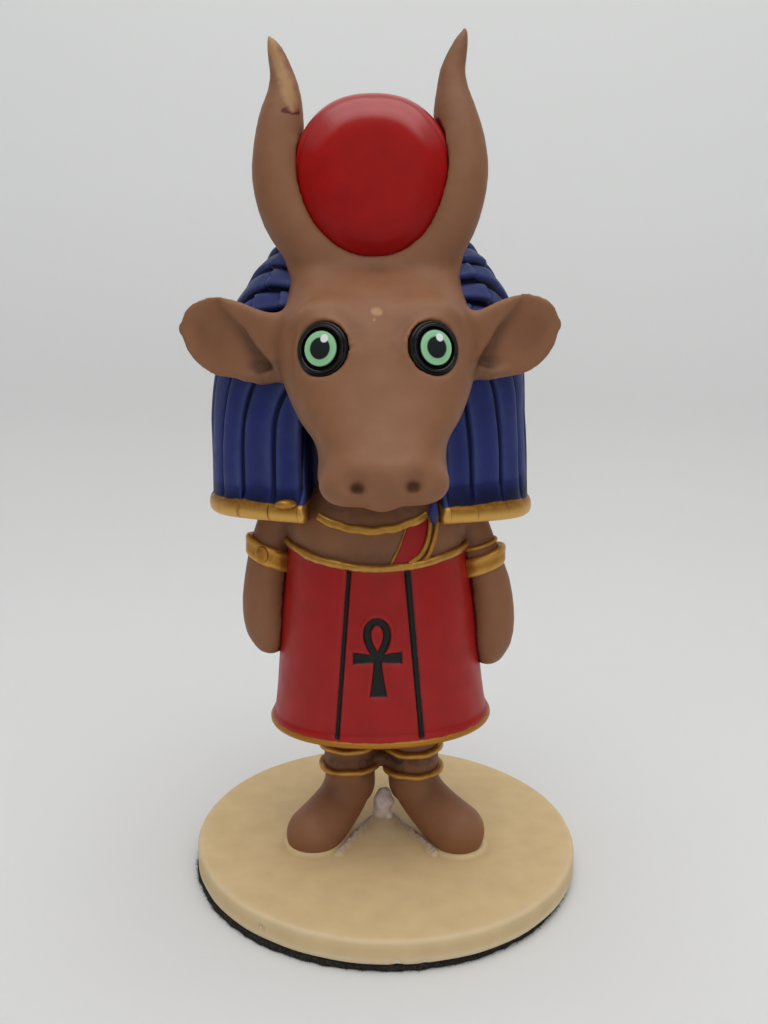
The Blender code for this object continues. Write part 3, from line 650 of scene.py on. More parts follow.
hornRows = {  # x, y, z, radius
    -1: [(-4.9, -4.8, 74.6, 3.3), (-7.7, -4.9, 78.5, 3.0), (-9.85, -4.8, 82.3, 3.3),
         (-11.0, -4.4, 86.5, 3.25), (-11.0, -3.9, 90.2, 3.05), (-10.6, -3.4, 93.7, 2.7),
         (-10.2, -3.1, 96.6, 2.0), (-10.4, -2.9, 99.0, 1.45), (-11.1, -2.8, 101.6, 0.95),
         (-11.75, -2.8, 103.1, 0.3)],
    1: [(5.4, -4.8, 74.6, 3.3), (8.0, -4.9, 78.5, 3.0), (9.7, -4.8, 82.3, 3.25), (10.8, -4.4, 86.5, 3.2),
        (10.8, -3.9, 90.2, 3.0), (10.2, -3.4, 93.7, 2.65), (9.9, -3.1, 96.6, 1.95), (10.0, -2.9, 99.0, 1.5),
        (10.9, -2.8, 101.8, 0.95), (11.55, -2.8, 103.5, 0.35)]}
earRows = [  # x, middle z, half height, y
    (9.5, 67.3, 3.7, -8.6), (12.7, 67.4, 3.85, -9.1), (16.0, 68.0, 4.5, -8.6), (18.9, 68.4, 4.75, -7.7),
    (21.2, 68.8, 3.9, -6.9), (22.7, 69.2, 2.5, -6.6), (23.5, 69.4, 0.7, -6.5)]
earFold = [(11.4, 63.6), (12.4, 65.1), (14.2, 67.2), (15.3, 69.1), (17.1, 71.0), (19.1, 73.2)]   # x, z
headCast = {
    "step": 0.34, "power": 2.4, "low": (-25.5, -29.0, 46.5), "high": (25.5, 10.5, 105.5),
    "hornBlend": 3.4, "cupBlend": 1.2, "earBlend": 1.2, "grooveBlend": 0.3, "discGap": 0.02,
    "earReach": {-1: 1.0, 1: 0.955}, "earLumps": [(15.2, -8.3, 63.6, 1.2), (13.4, -9.0, 63.3, 1.3),
                                                  (11.9, -9.4, 63.7, 1.4)],
    # centre, reach along X, Y and Z, soft crease; drawn for the right side
    "brow": ((5.7, -14.4, 70.2), (3.1, 1.8, 1.6), 2.6), "lip": ((4.2, -22.9, 52.4), (2.7, 2.5, 2.1), 1.4),
    "chin": ((-0.3, -23.1, 50.5), (1.8, 1.9, 1.0), 0.6),
    # x, z, place (z, x) on the front, depth under it, reach along X, Y and Z, turn, soft crease
    "nostril": (3.5, 52.85, (52.8, 3.05), 0.95, (1.7, 1.5, 1.1), 0.55, 0.8),
    "hole": (3.0, 52.4, (52.4, 3.05), 0.2, (0.75, 1.6, 0.62), 0.0, 0.5),
    "rim": {"radius": 3.22, "down": 0.35, "thick": 0.38, "blend": 0.8},
    "socket": {"room": 0.02, "deeper": 0.2, "blend": 0.2}}
disc = {"centre": (0.25, -5.0, 86.4), "wide": 9.65, "tallUp": 9.8, "tallDown": 10.25,
        "near": 9, "hole": 0.004,   # a radius inside the disc, and the share at which its fans start
        "profile": [(0.0, 3.95), (0.3, 3.87), (0.55, 3.62), (0.7, 3.15), (0.8, 2.5), (0.875, 1.95),
                    (0.91, 1.6), (0.918, 1.3), (0.93, 1.22),
                    (0.96, 1.05), (0.99, 0.5), (1.0, 0.0), (0.995, -0.8),
                    (0.96, -1.9), (0.86, -2.6), (0.6, -3.0), (0.0, -3.15)]}


def headFront(z, x):
    width, front, middle, _ = readRows(headRows, np.array([z]))[0]
    share = min(abs(x) / width, 1.0)
    return middle + (front - middle) * (1 - share**2.4)**(1 / 2.4)


def eyeTurn(side):
    across, height = eyes["across"][side], eyes["height"][side]
    centre = (across, headFront(height, across) + 0.15, height)
    turn = Matrix.Rotation(side * math.radians(eyes["out"]), 4, "Z")
    tilt = Matrix.Rotation(math.radians(90 - eyes["up"]), 4, "X")
    return np.array(Matrix.Translation(centre) @ turn @ tilt)


def earForm(side):
    def form(x, y, z):
        reach = side * x / headCast["earReach"][side]
        along = np.clip(reach, earRows[0][0], earRows[-1][0])[:, 0, 0]
        middle, half, depth = np.moveaxis(readRows(earRows, along), -1, 0)
        half = np.maximum(half, 0.5)[:, None, None]
        lower = 0.2 * (1 + side)
        middle = middle[:, None, None] - lower
        fold = np.interp(along, *np.array(earFold).T)[:, None, None] - lower
        over = step01(z - fold, -0.25, 0.55) * step01(along, 22.0, 17.5)[:, None, None]
        fullness = half / 4.75
        cup = 1.5 * np.minimum(1.0, (along - 9.5) / 5.0)[:, None, None] * fullness
        thick = 1.45 * fullness**0.5 + 0.45 * over
        rise = (z - middle) / half
        root = np.exp(-((along[:, None, None] - 13.0) / 2.2)**2)
        hollow = 0.9 * root * step01(rise, 0.75, 0.2) * (1 - over)
        shell = depth[:, None, None] + cup * (1 - rise * rise) - 0.45 * over + hollow
        inside = np.sqrt(rise * rise + ((y - shell) / thick)**2)
        distance = np.clip(evenOut((inside - 1) * np.ones_like(x + y + z), headCast["step"]), -3, 4)
        return np.maximum(distance, np.maximum(reach - earRows[-1][0] - 0.3, earRows[0][0] - reach))
    return form


def discEdge(dx, dz):
    # how far out a place lies, as a share of the disc's outline, which is squarer on top
    power = 2 + 0.16 * step01(dz, -2.0, 5.0)
    tall = np.where(dz > 0, disc["tallUp"], disc["tallDown"])
    return (np.abs(dx / disc["wide"])**power + np.abs(dz / tall)**power + 1e-9)**(1 / power)


def discForm(x, y, z):
    share = discEdge(x - disc["centre"][0], z - disc["centre"][2])
    profile = np.array(disc["profile"])
    inward = disc["centre"][1] - y
    order = np.argsort(profile[:, 1])
    edge = np.interp(inward, profile[order, 1], profile[order, 0])
    outside = np.maximum(inward - disc["profile"][0][1], disc["profile"][-1][1] - inward)
    return np.maximum((share - edge) * disc["wide"], outside)


def cupForm(x, y, z):
    # the brow that rises round the disc and joins the horns
    dx, dz = x - disc["centre"][0], z - disc["centre"][2]
    away = np.sqrt(dx * dx + dz * dz)
    rise = step01(dz, 3.0, -7.0)
    ring = np.sqrt((away - 10.3)**2 + ((y + 4.8) / 1.15)**2) - (0.8 + 1.7 * rise)
    return np.maximum(ring, (dz - 4.0) * 0.8)


def facing(form):
    # the same form, turned with the head
    c, s = math.cos(stance["headTurn"]), math.sin(stance["headTurn"])
    return lambda x, y, z: form(x * c + y * s, y * c - x * s, z)


def headShade(points):
    # painted shade in the nostrils, under the disc and round the ear roots, and darker towards the horn tips
    x, y, z = points.T
    under = 0.4 * np.exp(-(np.maximum(discForm(x, y, z), 0) / 0.5)**2)
    c, s = math.cos(stance["headTurn"]), math.sin(stance["headTurn"])
    nostril = 0.25 * np.exp(-((np.abs(x * c + y * s) - 3.05) / 0.6)**2 - ((z - 52.4) / 0.5)**2) * (y < -20)
    horns = 0.13 * step01(z, 86, 98)
    roots = 0.45 * np.exp(-((np.abs(x) - 13.0) / 1.8)**2) * (z < 65.5) * (z > 61)
    return np.clip(under + nostril + roots + horns, 0, 1)


def sideBall(side, form):
    (x, y, z), reach, _ = headCast[form]
    return facing(ballForm((side * x, y, z), reach))


def pourNostril(mould, side, form):
    x, z, front, deep, reach, turn, soft = headCast[form]
    hollow = ballForm((side * x, headFront(*front) - deep, z), reach, -side * turn)
    pour(mould, (-8, -30, 48), (8, -20, 57), facing(hollow), soft, True)


def eyeForms(side):
    # the rim round the eye and the socket that it sits in, in the eye's own frame
    turn = np.linalg.inv(eyeTurn(side))

    def place(x, y, z):
        u, v, h = [turn[k, 0] * x + turn[k, 1] * y + turn[k, 2] * z + turn[k, 3] for k in range(3)]
        return np.sqrt(u * u + v * v), h

    def rim(x, y, z):
        away, h = place(x, y, z)
        ring = headCast["rim"]
        return np.sqrt((away - ring["radius"])**2 + (h + ring["down"])**2) - ring["thick"]

    def socket(x, y, z):
        away, h = place(x, y, z)
        hole = headCast["socket"]
        return np.maximum(away - eyes["radius"] - hole["room"], -h - eyes["depth"] - hole["deeper"])
    return facing(rim), facing(socket)


def castHead():
    # each pour names the box that it can change
    mould = newMould(headCast["low"], headCast["high"], headCast["step"])
    skull = facing(stackForm(headRows, headCast["power"], headCast["step"]))
    pour(mould, (-19, -29, 47), (19, 10.5, 88), skull, 0.1)
    for side in (-1, 1):
        pour(mould, (-14, -24, 64), (14, -8, 78), sideBall(side, "brow"), headCast["brow"][2])
        pour(mould, (-12, -29, 47), (12, -16, 60), sideBall(side, "lip"), headCast["lip"][2])
    pour(mould, (-12, -29, 47), (12, -16, 58), sideBall(1, "chin"), headCast["chin"][2])
    for side in (-1, 1):
        low, high = sorted((side * 1.0, side * 17.0))
        horn = limbForm(hornRows[side], 26)
        pour(mould, (low - 2, -14, 66), (high + 2, 6, 105.5), horn, headCast["hornBlend"])
    pour(mould, (-16, -12, 70), (16, 3, 97), cupForm, headCast["cupBlend"])
    for side in (-1, 1):
        low, high = sorted((side * 8.0, side * 25.5))
        pour(mould, (low, -14, 60), (high, 1, 77), earForm(side), headCast["earBlend"])
        for x, y, z, size in headCast["earLumps"]:
            lump = ballForm((side * x, y, z), (size, 0.8 * size, 0.55 * size))
            pour(mould, (low, -14, 60), (high, 1, 77), lump, 0.7)
    pour(mould, (-13, -12, 73), (13, 1, 99), lambda x, y, z: discForm(x, y, z) - headCast["discGap"],
         headCast["grooveBlend"], True)
    for side in (-1, 1):
        pourNostril(mould, side, "nostril")
        pourNostril(mould, side, "hole")
        rim, socket = eyeForms(side)
        low, high = (side * 6.3 - 6, -24, 61), (side * 6.3 + 6, -8, 73)
        pour(mould, low, high, rim, headCast["rim"]["blend"])
        pour(mould, low, high, socket, headCast["socket"]["blend"], True)
    return mould


def headMarks(points):
    # the disc's red smeared on the horns, the white scuffs on the brow and the bare streak on a horn
    x, y, z = points.T
    spill = discForm(x, y, z) - 0.12 - 0.35 * step01(x, 4, 10) * step01(z, 80, 84)
    smear = np.sqrt(((x + 9.3) / 1.2)**2 + ((z - 94.3) / 0.5)**2 + ((y + 5) / 2.5)**2) - 1
    scuffs = np.minimum(np.hypot((x - 0.45) / 0.62, (z - 70.8) / 0.4), np.hypot(x - 0.1, z - 69.9) * 6)
    scuffs = np.where(y < -10, scuffs - 1, 3.0)
    path = np.interp(z, (93.0, 97.0, 103.5), (-8.9, -9.6, -12.0))
    streak = np.abs(x - path) - 0.75 * step01(z, 92.5, 96.5) + 3.0 * step01(z, 94.4, 92.6) + 2 * (y > -2.2)
    return {"redSpill": np.minimum(spill, smear), "paintedShade": headShade(points),
            "bareStreak": np.minimum(np.where(x < 0, streak, 3.0), scuffs)}


def makeHead():
    points, faces = skin(castHead())
    item = meshPiece("headCast", stand(points), faces, headMarks(points))
    markHollows(item, 40, 0.22)
    return item


skinPaint = skinMaterial()
headPiece = makeHead()
dressUp(headPiece, skinPaint, ["figure"])
print("head cast:", len(headPiece.data.polygons))


# Sun disc

def makeDisc():
    rows = evenRows(disc["profile"], 150)[1:-1]
    angle = fullTurn(200)
    edge = 1 / discEdge(np.cos(angle) * disc["near"], np.sin(angle) * disc["near"])
    uneven = 0.04 * np.sin(angle * 3 + 0.6) + 0.03 * np.sin(angle * 7)
    share = np.maximum(rows[:, 0:1], disc["hole"])
    x = disc["centre"][0] + share * (edge * disc["near"] + uneven)[None] * np.cos(angle)[None]
    z = disc["centre"][2] + share * (edge * disc["near"] + uneven)[None] * np.sin(angle)[None]
    y = disc["centre"][1] - rows[:, 1:2] + 0 * x
    grid = np.stack([x, y, z], -1)
    far = np.full(grid.shape[:2], 5.0)
    # thicker, brushed varnish round the upper edge
    gloss = step01(share, 0.55, 0.78) * step01(np.sin(angle), 0.1, 0.75)[None]
    item = closedPiece("sunDisc", grid, {"darkLineDistance": far, "giltDistance": far, "gloss": gloss})
    markHollows(item, 30, 0.2)
    return item


redPaint, discPaint = redMaterial("redPaint", 0.12, 0.26), discMaterial()
dressUp(makeDisc(), discPaint, ["figure"])
print("disc made")


# Eyes

def makeEye(side, name):
    rows = evenRows(eyes["profile"], eyes["rings"])
    angle = fullTurn(eyes["columns"])[None]
    u, v = rows[:, 0:1] * np.cos(angle), rows[:, 0:1] * np.sin(angle)
    h = rows[:, 1:2] * eyes["crown"] * np.ones_like(u)
    local = np.stack([u * eyes["radius"], v * eyes["radius"], h, np.ones_like(h)], -1) @ eyeTurn(side).T
    return closedPiece(name, local[..., :3], {"eyeAcross": u, "eyeUp": v}, turned=True)


glossyEye = eyeMaterial()
for side, name, node in ((-1, "leftEye", "left_eye"), (1, "rightEye", "right_eye")):
    dressUp(makeEye(side, name), glossyEye, [node])
print("eyes set")


# Wig: strands that run from the brow over the crown and fall to a gold trim

wigRows = [  # share of the way from crown to hem, share of the half width, z
    (0.0, 0.0, 83.4), (0.13, 0.25, 82.7), (0.26, 0.47, 80.9), (0.36, 0.61, 78.6), (0.46, 0.74, 75.6),
    (0.56, 0.845, 72.0), (0.66, 0.925, 67.8), (0.76, 0.97, 62.6), (0.88, 0.99, 55.6), (1.0, 1.0, 47.9)]
wig = {"halfWidth": 20.7, "front": 11.8, "back": 13.2, "middleY": 1.2, "tilt": math.radians(52),
       "shift": -1.1, "groove": 0.7, "grooveHalf": 0.27, "lock": 0.55, "trimTop": 47.7, "trimBottom": 45.3,
       "trimFall": -0.03, "notchLeft": -8.6, "notchRight": 7.5, "rings": 170,
       "within": [0.0, 0.04, 0.08, 0.12, 0.18, 0.27, 0.38, 0.5, 0.62, 0.73, 0.82, 0.88, 0.92, 0.96],
       "trim": [  # share of the way down the trim, swell
           (0.0, 0.1), (0.12, 0.38), (0.3, 0.55), (0.5, 0.62), (0.7, 0.58), (0.86, 0.42), (0.96, 0.1),
           (1.0, -0.35), (1.0, -1.6), (0.9, -3.0)],
       "edges": [-23.4, -34.4, -50.0, -64.1, -79.0, -94.0, -109.0, -123.5, -138.0, -152.0, -166.0,
                 180.0, 166.0, 152.0, 138.0, 124.0, 110.5, 97.0, 83.0, 68.9, 53.5, 37.8, 27.0, 12.0, -1.0,
                 -12.0]}


def wigSurface(around, down):
    reach = math.pi / 2
    polar = reach * down
    x = np.sin(polar) * np.sin(around)
    y = -np.sin(polar) * np.cos(around)
    z = np.cos(polar) * np.ones_like(around)
    tilt = wig["tilt"] * (1 - down * down * (3 - 2 * down))
    y, z = y * np.cos(tilt) - z * np.sin(tilt), y * np.sin(tilt) + z * np.cos(tilt)
    way = np.arccos(np.clip(z, -1, 1)) / reach
    level = np.maximum(np.hypot(x, y), 1e-6)
    share, height = np.moveaxis(readRows(wigRows, way), -1, 0)
    dx, dy = x / level, y / level
    shift = wig["shift"] * np.clip((78 - height) / 20, 0, 1)
    depth = np.where(dy > 0, wig["back"], wig["front"])
    return np.stack([shift + wig["halfWidth"] * share * dx, wig["middleY"] + depth * share * dy, height], -1)


def gridNormals(grid):
    # outward directions of stacked rings
    along = np.gradient(grid, axis=0)
    ringwise = np.roll(grid, -1, 1) - np.roll(grid, 1, 1)
    normal = np.cross(ringwise, along)
    normal /= np.linalg.norm(normal, axis=-1, keepdims=True) + 1e-9
    outward = ((grid - grid.mean((0, 1))) * normal).sum() > 0
    return normal if outward else -normal


def trimRings(hem):
    # the gold trim under the strands' last ring
    flat = hem[:, :2] - [wig["shift"], wig["middleY"]]
    depth = np.where(flat[:, 1] > 0, wig["back"], wig["front"])
    angle = np.arctan2(flat[:, 1] / depth, flat[:, 0] / wig["halfWidth"])
    rings = []
    for drop, swell in wig["trim"]:
        x = wig["shift"] + (wig["halfWidth"] + swell) * np.cos(angle)
        y = wig["middleY"] + (depth + swell) * np.sin(angle)
        top = wig["trimTop"] + wig["trimFall"] * x
        z = top + (wig["trimBottom"] - wig["trimTop"]) * drop + 0.1 * np.sin(angle * 5) * (drop > 0.4)
        rings.append(np.stack([x, y, z], -1))
    return np.array(rings)


def makeWig():
    edges = np.radians(sorted(wig["edges"]))
    strands = len(edges)
    within = np.array(wig["within"])
    ends = np.append(edges[1:], edges[0] + math.tau)
    around = (edges[:, None] + (ends - edges)[:, None] * within[None]).ravel()[None]
    across = np.tile(within, strands)[None]
    which = np.repeat(np.arange(strands), len(within))
    down = np.append(np.linspace(0.1, 0.97, wig["rings"]), 1.0)[:, None]
    grid = wigSurface(around * np.ones_like(down), down * np.ones_like(around))
    normal = gridNormals(grid)
    width = np.linalg.norm(grid - np.roll(grid, -len(within), 1), axis=-1)
    edge = np.minimum(across, 1 - across) * width
    soften = np.minimum(1.0, width / 2.2)
    cut = np.exp(-(edge / (wig["grooveHalf"] * (0.55 + 0.45 * soften)))**2) * wig["groove"] * soften
    swell = 0.14 * (1 - (2 * across - 1)**4) * soften
    # locks on the crown, each ending in a step over the next
    side = np.sign(np.sin(around))
    beat = down * rng.uniform(6, 9, strands)[which] + rng.uniform(0, 1, strands)[which]
    beat = (beat + 0.22 * (across - 0.5) * side) % 1.0
    crown = step01(down, 0.52, 0.4) * soften
    lock = wig["lock"] * crown * beat**1.5
    gouge = 0.5 * crown * np.exp(-(np.minimum(beat, 1 - beat) / 0.035)**2) * (across > 0.45)
    lap = 0.75 * step01(down, 0.62, 0.4) * (across - 0.5) * side * soften
    wobble = rng.normal(0, 0.10, strands)[which] + 0.06 * np.sin(down * 23 + which * 1.7)
    grid = grid + normal * (swell - cut - lap + wobble + lock - gouge)[..., None]
    # darker lines along the groove floors and the steps between locks: dark wash and painted shade
    darkLine = np.minimum(edge - 0.13, np.where(gouge > 0.2, -0.1, 2.0)) + 5 * (soften < 0.4)
    grid = np.concatenate([grid[:-1], trimRings(grid[-1])])
    darkLine = np.concatenate([darkLine[:-1], np.full((len(grid) - len(darkLine) + 1, darkLine.shape[1]), 5.0)])
    x, y, z = np.moveaxis(grid, -1, 0)
    # the opening between the lappets, under the face
    left = step01(x, wig["notchLeft"] - 0.5, wig["notchLeft"] + 0.2)
    right = step01(x, wig["notchRight"] + 0.5, wig["notchRight"] - 0.2)
    opening = left * right * (y < -1) * step01(z, 66, 60)
    grid[..., 1] = y + (np.maximum(-4.0, y) - y) * opening
    gilt = z - (wig["trimTop"] + wig["trimFall"] * x)
    item = closedPiece("wig", grid, {"giltDistance": gilt, "darkLineDistance": darkLine})
    markHollows(item, 14, 0.22)
    return item


bluePaint = blueMaterial()
wigPiece = makeWig()
dressUp(wigPiece, bluePaint, ["figure"])
print("wig made:", len(wigPiece.data.polygons))

# Body: chest, arms, legs and boots, cast as one

def segmentDistance(x, z, a, b):
    dx, dz = b[0] - a[0], b[1] - a[1]
    t = np.clip(((x - a[0]) * dx + (z - a[1]) * dz) / (dx * dx + dz * dz), 0, 1)
    return np.hypot(x - a[0] - t * dx, z - a[1] - t * dz), t


def pathDistance(x, z, path):
    return np.min([segmentDistance(x, z, a, b)[0] for a, b in zip(path, path[1:])], 0)


chestRows = [  # z, half width, front y, middle y, back y, as in the next table
    (39.6, 11.3, -10.2, 0.0, 9.1), (41.0, 11.5, -10.3, 0.0, 9.0), (45.0, 12.2, -9.3, 0.0, 8.6),
    (48.0, 10.0, -8.3, 0.0, 8.0), (51.0, 7.6, -7.2, 0.0, 7.0), (56.0, 6.4, -6.4, 0.0, 6.5)]
dressRows = [
    (17.2, 14.6, -11.8, 0.0, 11.6), (19.0, 14.3, -11.6, 0.0, 11.4), (22.0, 13.9, -11.5, 0.0, 11.1),
    (27.0, 13.4, -11.4, 0.0, 10.8), (33.0, 12.8, -11.1, 0.0, 10.3), (39.0, 11.8, -10.7, 0.0, 9.7),
    (41.0, 11.5, -10.4, 0.0, 9.5)]
legRows = [  # z, radius
    (20.5, 4.2), (16.5, 3.9), (13.6, 3.55), (12.0, 3.45), (10.6, 3.5), (9.0, 3.25), (7.0, 3.3)]
bodyCast = {"step": 0.33, "low": (-22, -14.5, -1.5), "high": (22, 12.5, 55.5), "legs": (-4.85, 3.95),
            "web": [(-2.6, -0.4, 10.6, 1.3), (-0.4, -0.2, 10.5, 1.15), (1.8, -0.4, 10.3, 1.3)]}


def armRows(side):
    # x, y, z, radius from the shoulder down; the arms differ a little
    drop = -1.05 * (1 + side)
    x, bend = (15.1, 0.5) if side < 0 else (14.4, 1.0)
    rows = [(x - 2.2 - bend, 0.5, 47.5, 2.5), (x - 0.9 - bend, 0.2, 44.0, 2.5), (x - bend, 0.0, 41.0, 2.6),
            (x, -0.3, 37.5, 2.9), (x + 0.3, -0.6, 33.5, 3.15), (x + 0.2, -1.0, 30.6, 3.0),
            (x - 0.2, -1.2, 28.9, 2.5)]
    return [(side * px, py, pz + drop, radius) for px, py, pz, radius in rows]


def footRows(side, x):
    # x, y, z, radius from the ankle to the toe
    out = 4.9 * side if side < 0 else 5.75
    return [(x, 0.4, 9.4, 3.15), (x + 0.1 * side, 0.2, 6.8, 3.2), (x + 0.3 * out, -0.8, 4.5, 3.35),
            (x + 0.66 * out, -2.7, 2.9, 3.55), (x + out, -4.4, 1.7, 3.75)]


def castBody():
    low, high, step = bodyCast["low"], bodyCast["high"], bodyCast["step"]
    mould = newMould(low, high, step)
    pour(mould, (-16, -13, 36), (16, 11, 55.5), stackForm(chestRows, 2.2, step, shift=-0.3), 0.1)
    for side in (-1, 1):
        inner, outer = sorted((side * 8.0, side * 22.0))
        pour(mould, (inner, -8, 20), (outer, 8, 53), limbForm(armRows(side), 14), 1.3)
    for side, x in zip((-1, 1), bodyCast["legs"]):
        inner, outer = sorted((side * -0.4, side * 16.0))
        leg = limbForm([(x, 0.0, z, radius) for z, radius in legRows], 12)
        pour(mould, (-10, -6, 5), (10, 6, 22), leg, 0.6)
        pour(mould, (inner, -13, -1.5), (outer, 5, 13), limbForm(footRows(side, x), 12), 1.0)
    pour(mould, (-5, -4, 6), (5, 4, 14), limbForm(bodyCast["web"], 4), 0.8)
    # the soles are cut level, a little under the base top
    pour(mould, low, (high[0], high[1], 1), lambda x, y, z: z + 0.4 + 0 * x + 0 * y, 0.1, True)
    return mould


bodyMould = castBody()


def bodyMarks(points):
    # painted shade between the anklets, round the neck under the head, beside the dress and between the cords
    # on the chest, and the dress's red that runs onto the arms
    x, y, z = points.T
    shin = 0.75 * np.exp(-((z - 11.3) / 1.0)**2) + 0.6 * (np.abs(x + 0.4) < 3) * np.exp(-((z - 9.8) / 1.5)**2)
    neck = 0.45 * step01(z, 45.5, 47.0) * (np.abs(x) < 12)
    width, front, _, back = np.moveaxis(readRows(dressRows, np.clip(z, 22, 41)), -1, 0)
    reach = np.where(y > 0, back, -front)
    inside = (np.abs((x + 0.4) / width)**2.1 + np.abs(y / reach)**2.1)**(1 / 2.1)
    away = (inside - 1) * width + 20 * (z < 22)
    crease = 0.5 * np.exp(-(np.maximum(away, 0) / 0.7)**2) * (z < 46) * step01(np.abs(x + 0.4), 9.6, 10.8)
    crease = np.maximum(crease, 0.35 * np.exp(-((z - 41.3) / 0.6)**2))
    gap = segmentDistance(x, z, (6.95, 46.0), (6.0, 41.3))[0]
    gap = 0.7 * np.exp(-(gap / 0.3)**2) * (y < 0)
    spill = away - 0.35 + 5 * (np.abs(x + 0.4) < 10.8) + 5 * (z > 42)
    return {"paintedShade": np.clip(shin + neck + crease + gap, 0, 1), "redSpill": np.clip(spill, -3, 3)}


def makeBody():
    points, faces = skin(bodyMould)
    far = np.full(len(points), 3.0)
    item = meshPiece("bodyCast", stand(points), faces, {"bareStreak": far, **bodyMarks(points)})
    markHollows(item, 40, 0.22)
    return item


bodyPiece = makeBody()
dressUp(bodyPiece, skinPaint, ["figure"])
print("body cast:", len(bodyPiece.data.polygons))


# Dress with its pleats and ankh

dress = {"shift": -0.4, "power": 2.1, "columns": 380, "wallRings": 120, "top": 40.2, "hem": 17.6,
         "lip": [  # z, swell
             (19.6, -2.6), (18.4, -1.5), (17.6, -0.75), (17.25, -0.4), (17.1, -0.12), (17.08, 0.12),
             (17.2, 0.34), (17.4, 0.45), (17.65, 0.47), (17.85, 0.36), (17.95, 0.24), (18.05, 0.3),
             (18.3, 0.24), (18.5, 0.1)],
         "pleats": [((-3.65, 41.0), (-5.85, 18.4)), ((3.5, 39.4), (4.95, 18.4))], "pleatHalf": (0.22, 0.28),
         "pleatDepth": 0.45, "ankhDepth": 0.3,
         "ankh": {"x": -0.45, "bar": 28.75, "top": 33.9, "bottom": 23.8, "half": 3.05, "stroke": 1.05,
                  "loop": 1.55}}
waistLine = {"front": ([-11.9, -10.1, -9.0, -7.8, -6.0, -3.0, 0.0, 5.0, 8.9, 11.9],
                       [42.1, 41.75, 41.3, 40.95, 40.65, 40.2, 40.05, 40.35, 40.9, 41.3]),
             "back": ([-11.9, -6.0, 0.0, 6.0, 11.9], [42.1, 41.3, 41.0, 41.0, 41.3]), "level": 40.05}


def ankhDistance(x, z):
    sign = dress["ankh"]
    x = x - sign["x"]
    angle = math.tau * np.arange(41) / 40
    foot, head = sign["bar"] + 0.2, sign["top"] - 0.5
    loop = np.stack([sign["loop"] * np.sin(angle) * np.abs(np.sin(angle / 2))**0.8,
                     foot + (head - foot) * (1 - np.cos(angle)) / 2], 1)
    distance = pathDistance(x, z, loop) - 0.45 * sign["stroke"]
    rise = z - sign["bar"]
    arm = 0.42 + 0.3 * np.clip(np.abs(x) / sign["half"], 0, 1)
    distance = np.minimum(distance, np.maximum(np.abs(rise) - arm * sign["stroke"], np.abs(x) - sign["half"]))
    fall = np.clip((sign["bar"] - z) / (sign["bar"] - sign["bottom"]), 0, 1)
    stem = (0.42 + 0.6 * fall**1.3) * sign["stroke"]
    return np.minimum(distance, np.maximum(np.abs(x) - stem, np.maximum(sign["bottom"] - z, rise)))


def waistHeight(x, y):
    front, back = np.interp(x, *waistLine["front"]), np.interp(x, *waistLine["back"])
    return np.where(y < 0, front, back)


def makeDress():
    even = np.linspace(-math.pi, math.pi, dress["columns"], endpoint=False)
    angle = even - 0.75 * np.sin(even)   # denser in front, where angle is 0
    wall = [(z, 0.0) for z in np.linspace(18.7, dress["top"], dress["wallRings"])]
    rim = [(dress["top"] + 0.1, -0.5), (dress["top"] + 0.1, -3.0)]
    heights, swell = np.array(dress["lip"] + wall + rim).T[..., None]
    rows = readRows(dressRows, np.maximum(heights[:, 0], dress["hem"]))
    width, front, back = rows[:, 0:1], -rows[:, 1:2], rows[:, 3:4]
    s, c = np.sin(angle)[None], -np.cos(angle)[None]
    x = dress["shift"] + (width + swell) * squarer(s, dress["power"])
    y = (np.where(c > 0, back, front) + swell) * squarer(c, dress["power"])
    upper = np.clip((heights - 33) / (dress["top"] - 33), 0, 1)
    z = heights + (waistHeight(x, y) - waistLine["level"]) * upper**2
    grid = np.stack([x, y, z], -1)
    inFront = y < -2
    # the pleats and the ankh are cut in, and the ankh has a raised edge
    sign = ankhDistance(x, z)
    darkLine = sign
    depth = dress["ankhDepth"] * step01(sign, 0.12, -0.18) - 0.1 * np.exp(-((sign - 0.3) / 0.18)**2)
    for (a, b), half, wider in zip(dress["pleats"], dress["pleatHalf"], (0, 0.1)):
        away, t = segmentDistance(x, z, a, b)
        half = half + wider * (1 - t)
        darkLine = np.minimum(darkLine, away - half - 0.06)
        depth = depth + dress["pleatDepth"] * np.exp(-(away / (half + 0.12))**2)
    grid = grid - gridNormals(grid) * (inFront * depth)[..., None]
    gilt = np.where(z < 19, z - 17.92, 5.0)
    marks = {"darkLineDistance": np.where(inFront, np.minimum(darkLine, 5.0), 5.0), "giltDistance": gilt}
    item = closedPiece("dress", grid, marks)
    markHollows(item, 30, 0.2)
    return item


dressPiece = makeDress()
dressUp(dressPiece, redPaint, ["figure"])
print("dress made:", len(dressPiece.data.polygons))


# Gold bands, swept along their paths by one node tree

def newTree(name, inputs):
    # a geometry tree with its input sockets
    tree = bpy.data.node_groups.new(name, "GeometryNodeTree")
    face = tree.interface
    face.new_socket("Geometry", in_out="INPUT", socket_type="NodeSocketGeometry")
    for label, kind, value in inputs:
        socket = face.new_socket(label, in_out="INPUT", socket_type=kind)
        if value is not None:
            socket.default_value = value
    face.new_socket("Geometry", in_out="OUTPUT", socket_type="NodeSocketGeometry")
    return tree, tree.nodes.new("NodeGroupInput").outputs, tree.nodes.new("NodeGroupOutput")


def paintResult(tree, made, given, out):
    inputs = {"Geometry": made.outputs[0], "Material": given["Material"]}
    tree.links.new(add(tree, "GeometryNodeSetMaterial", inputs).outputs[0], out.inputs[0])
    return tree


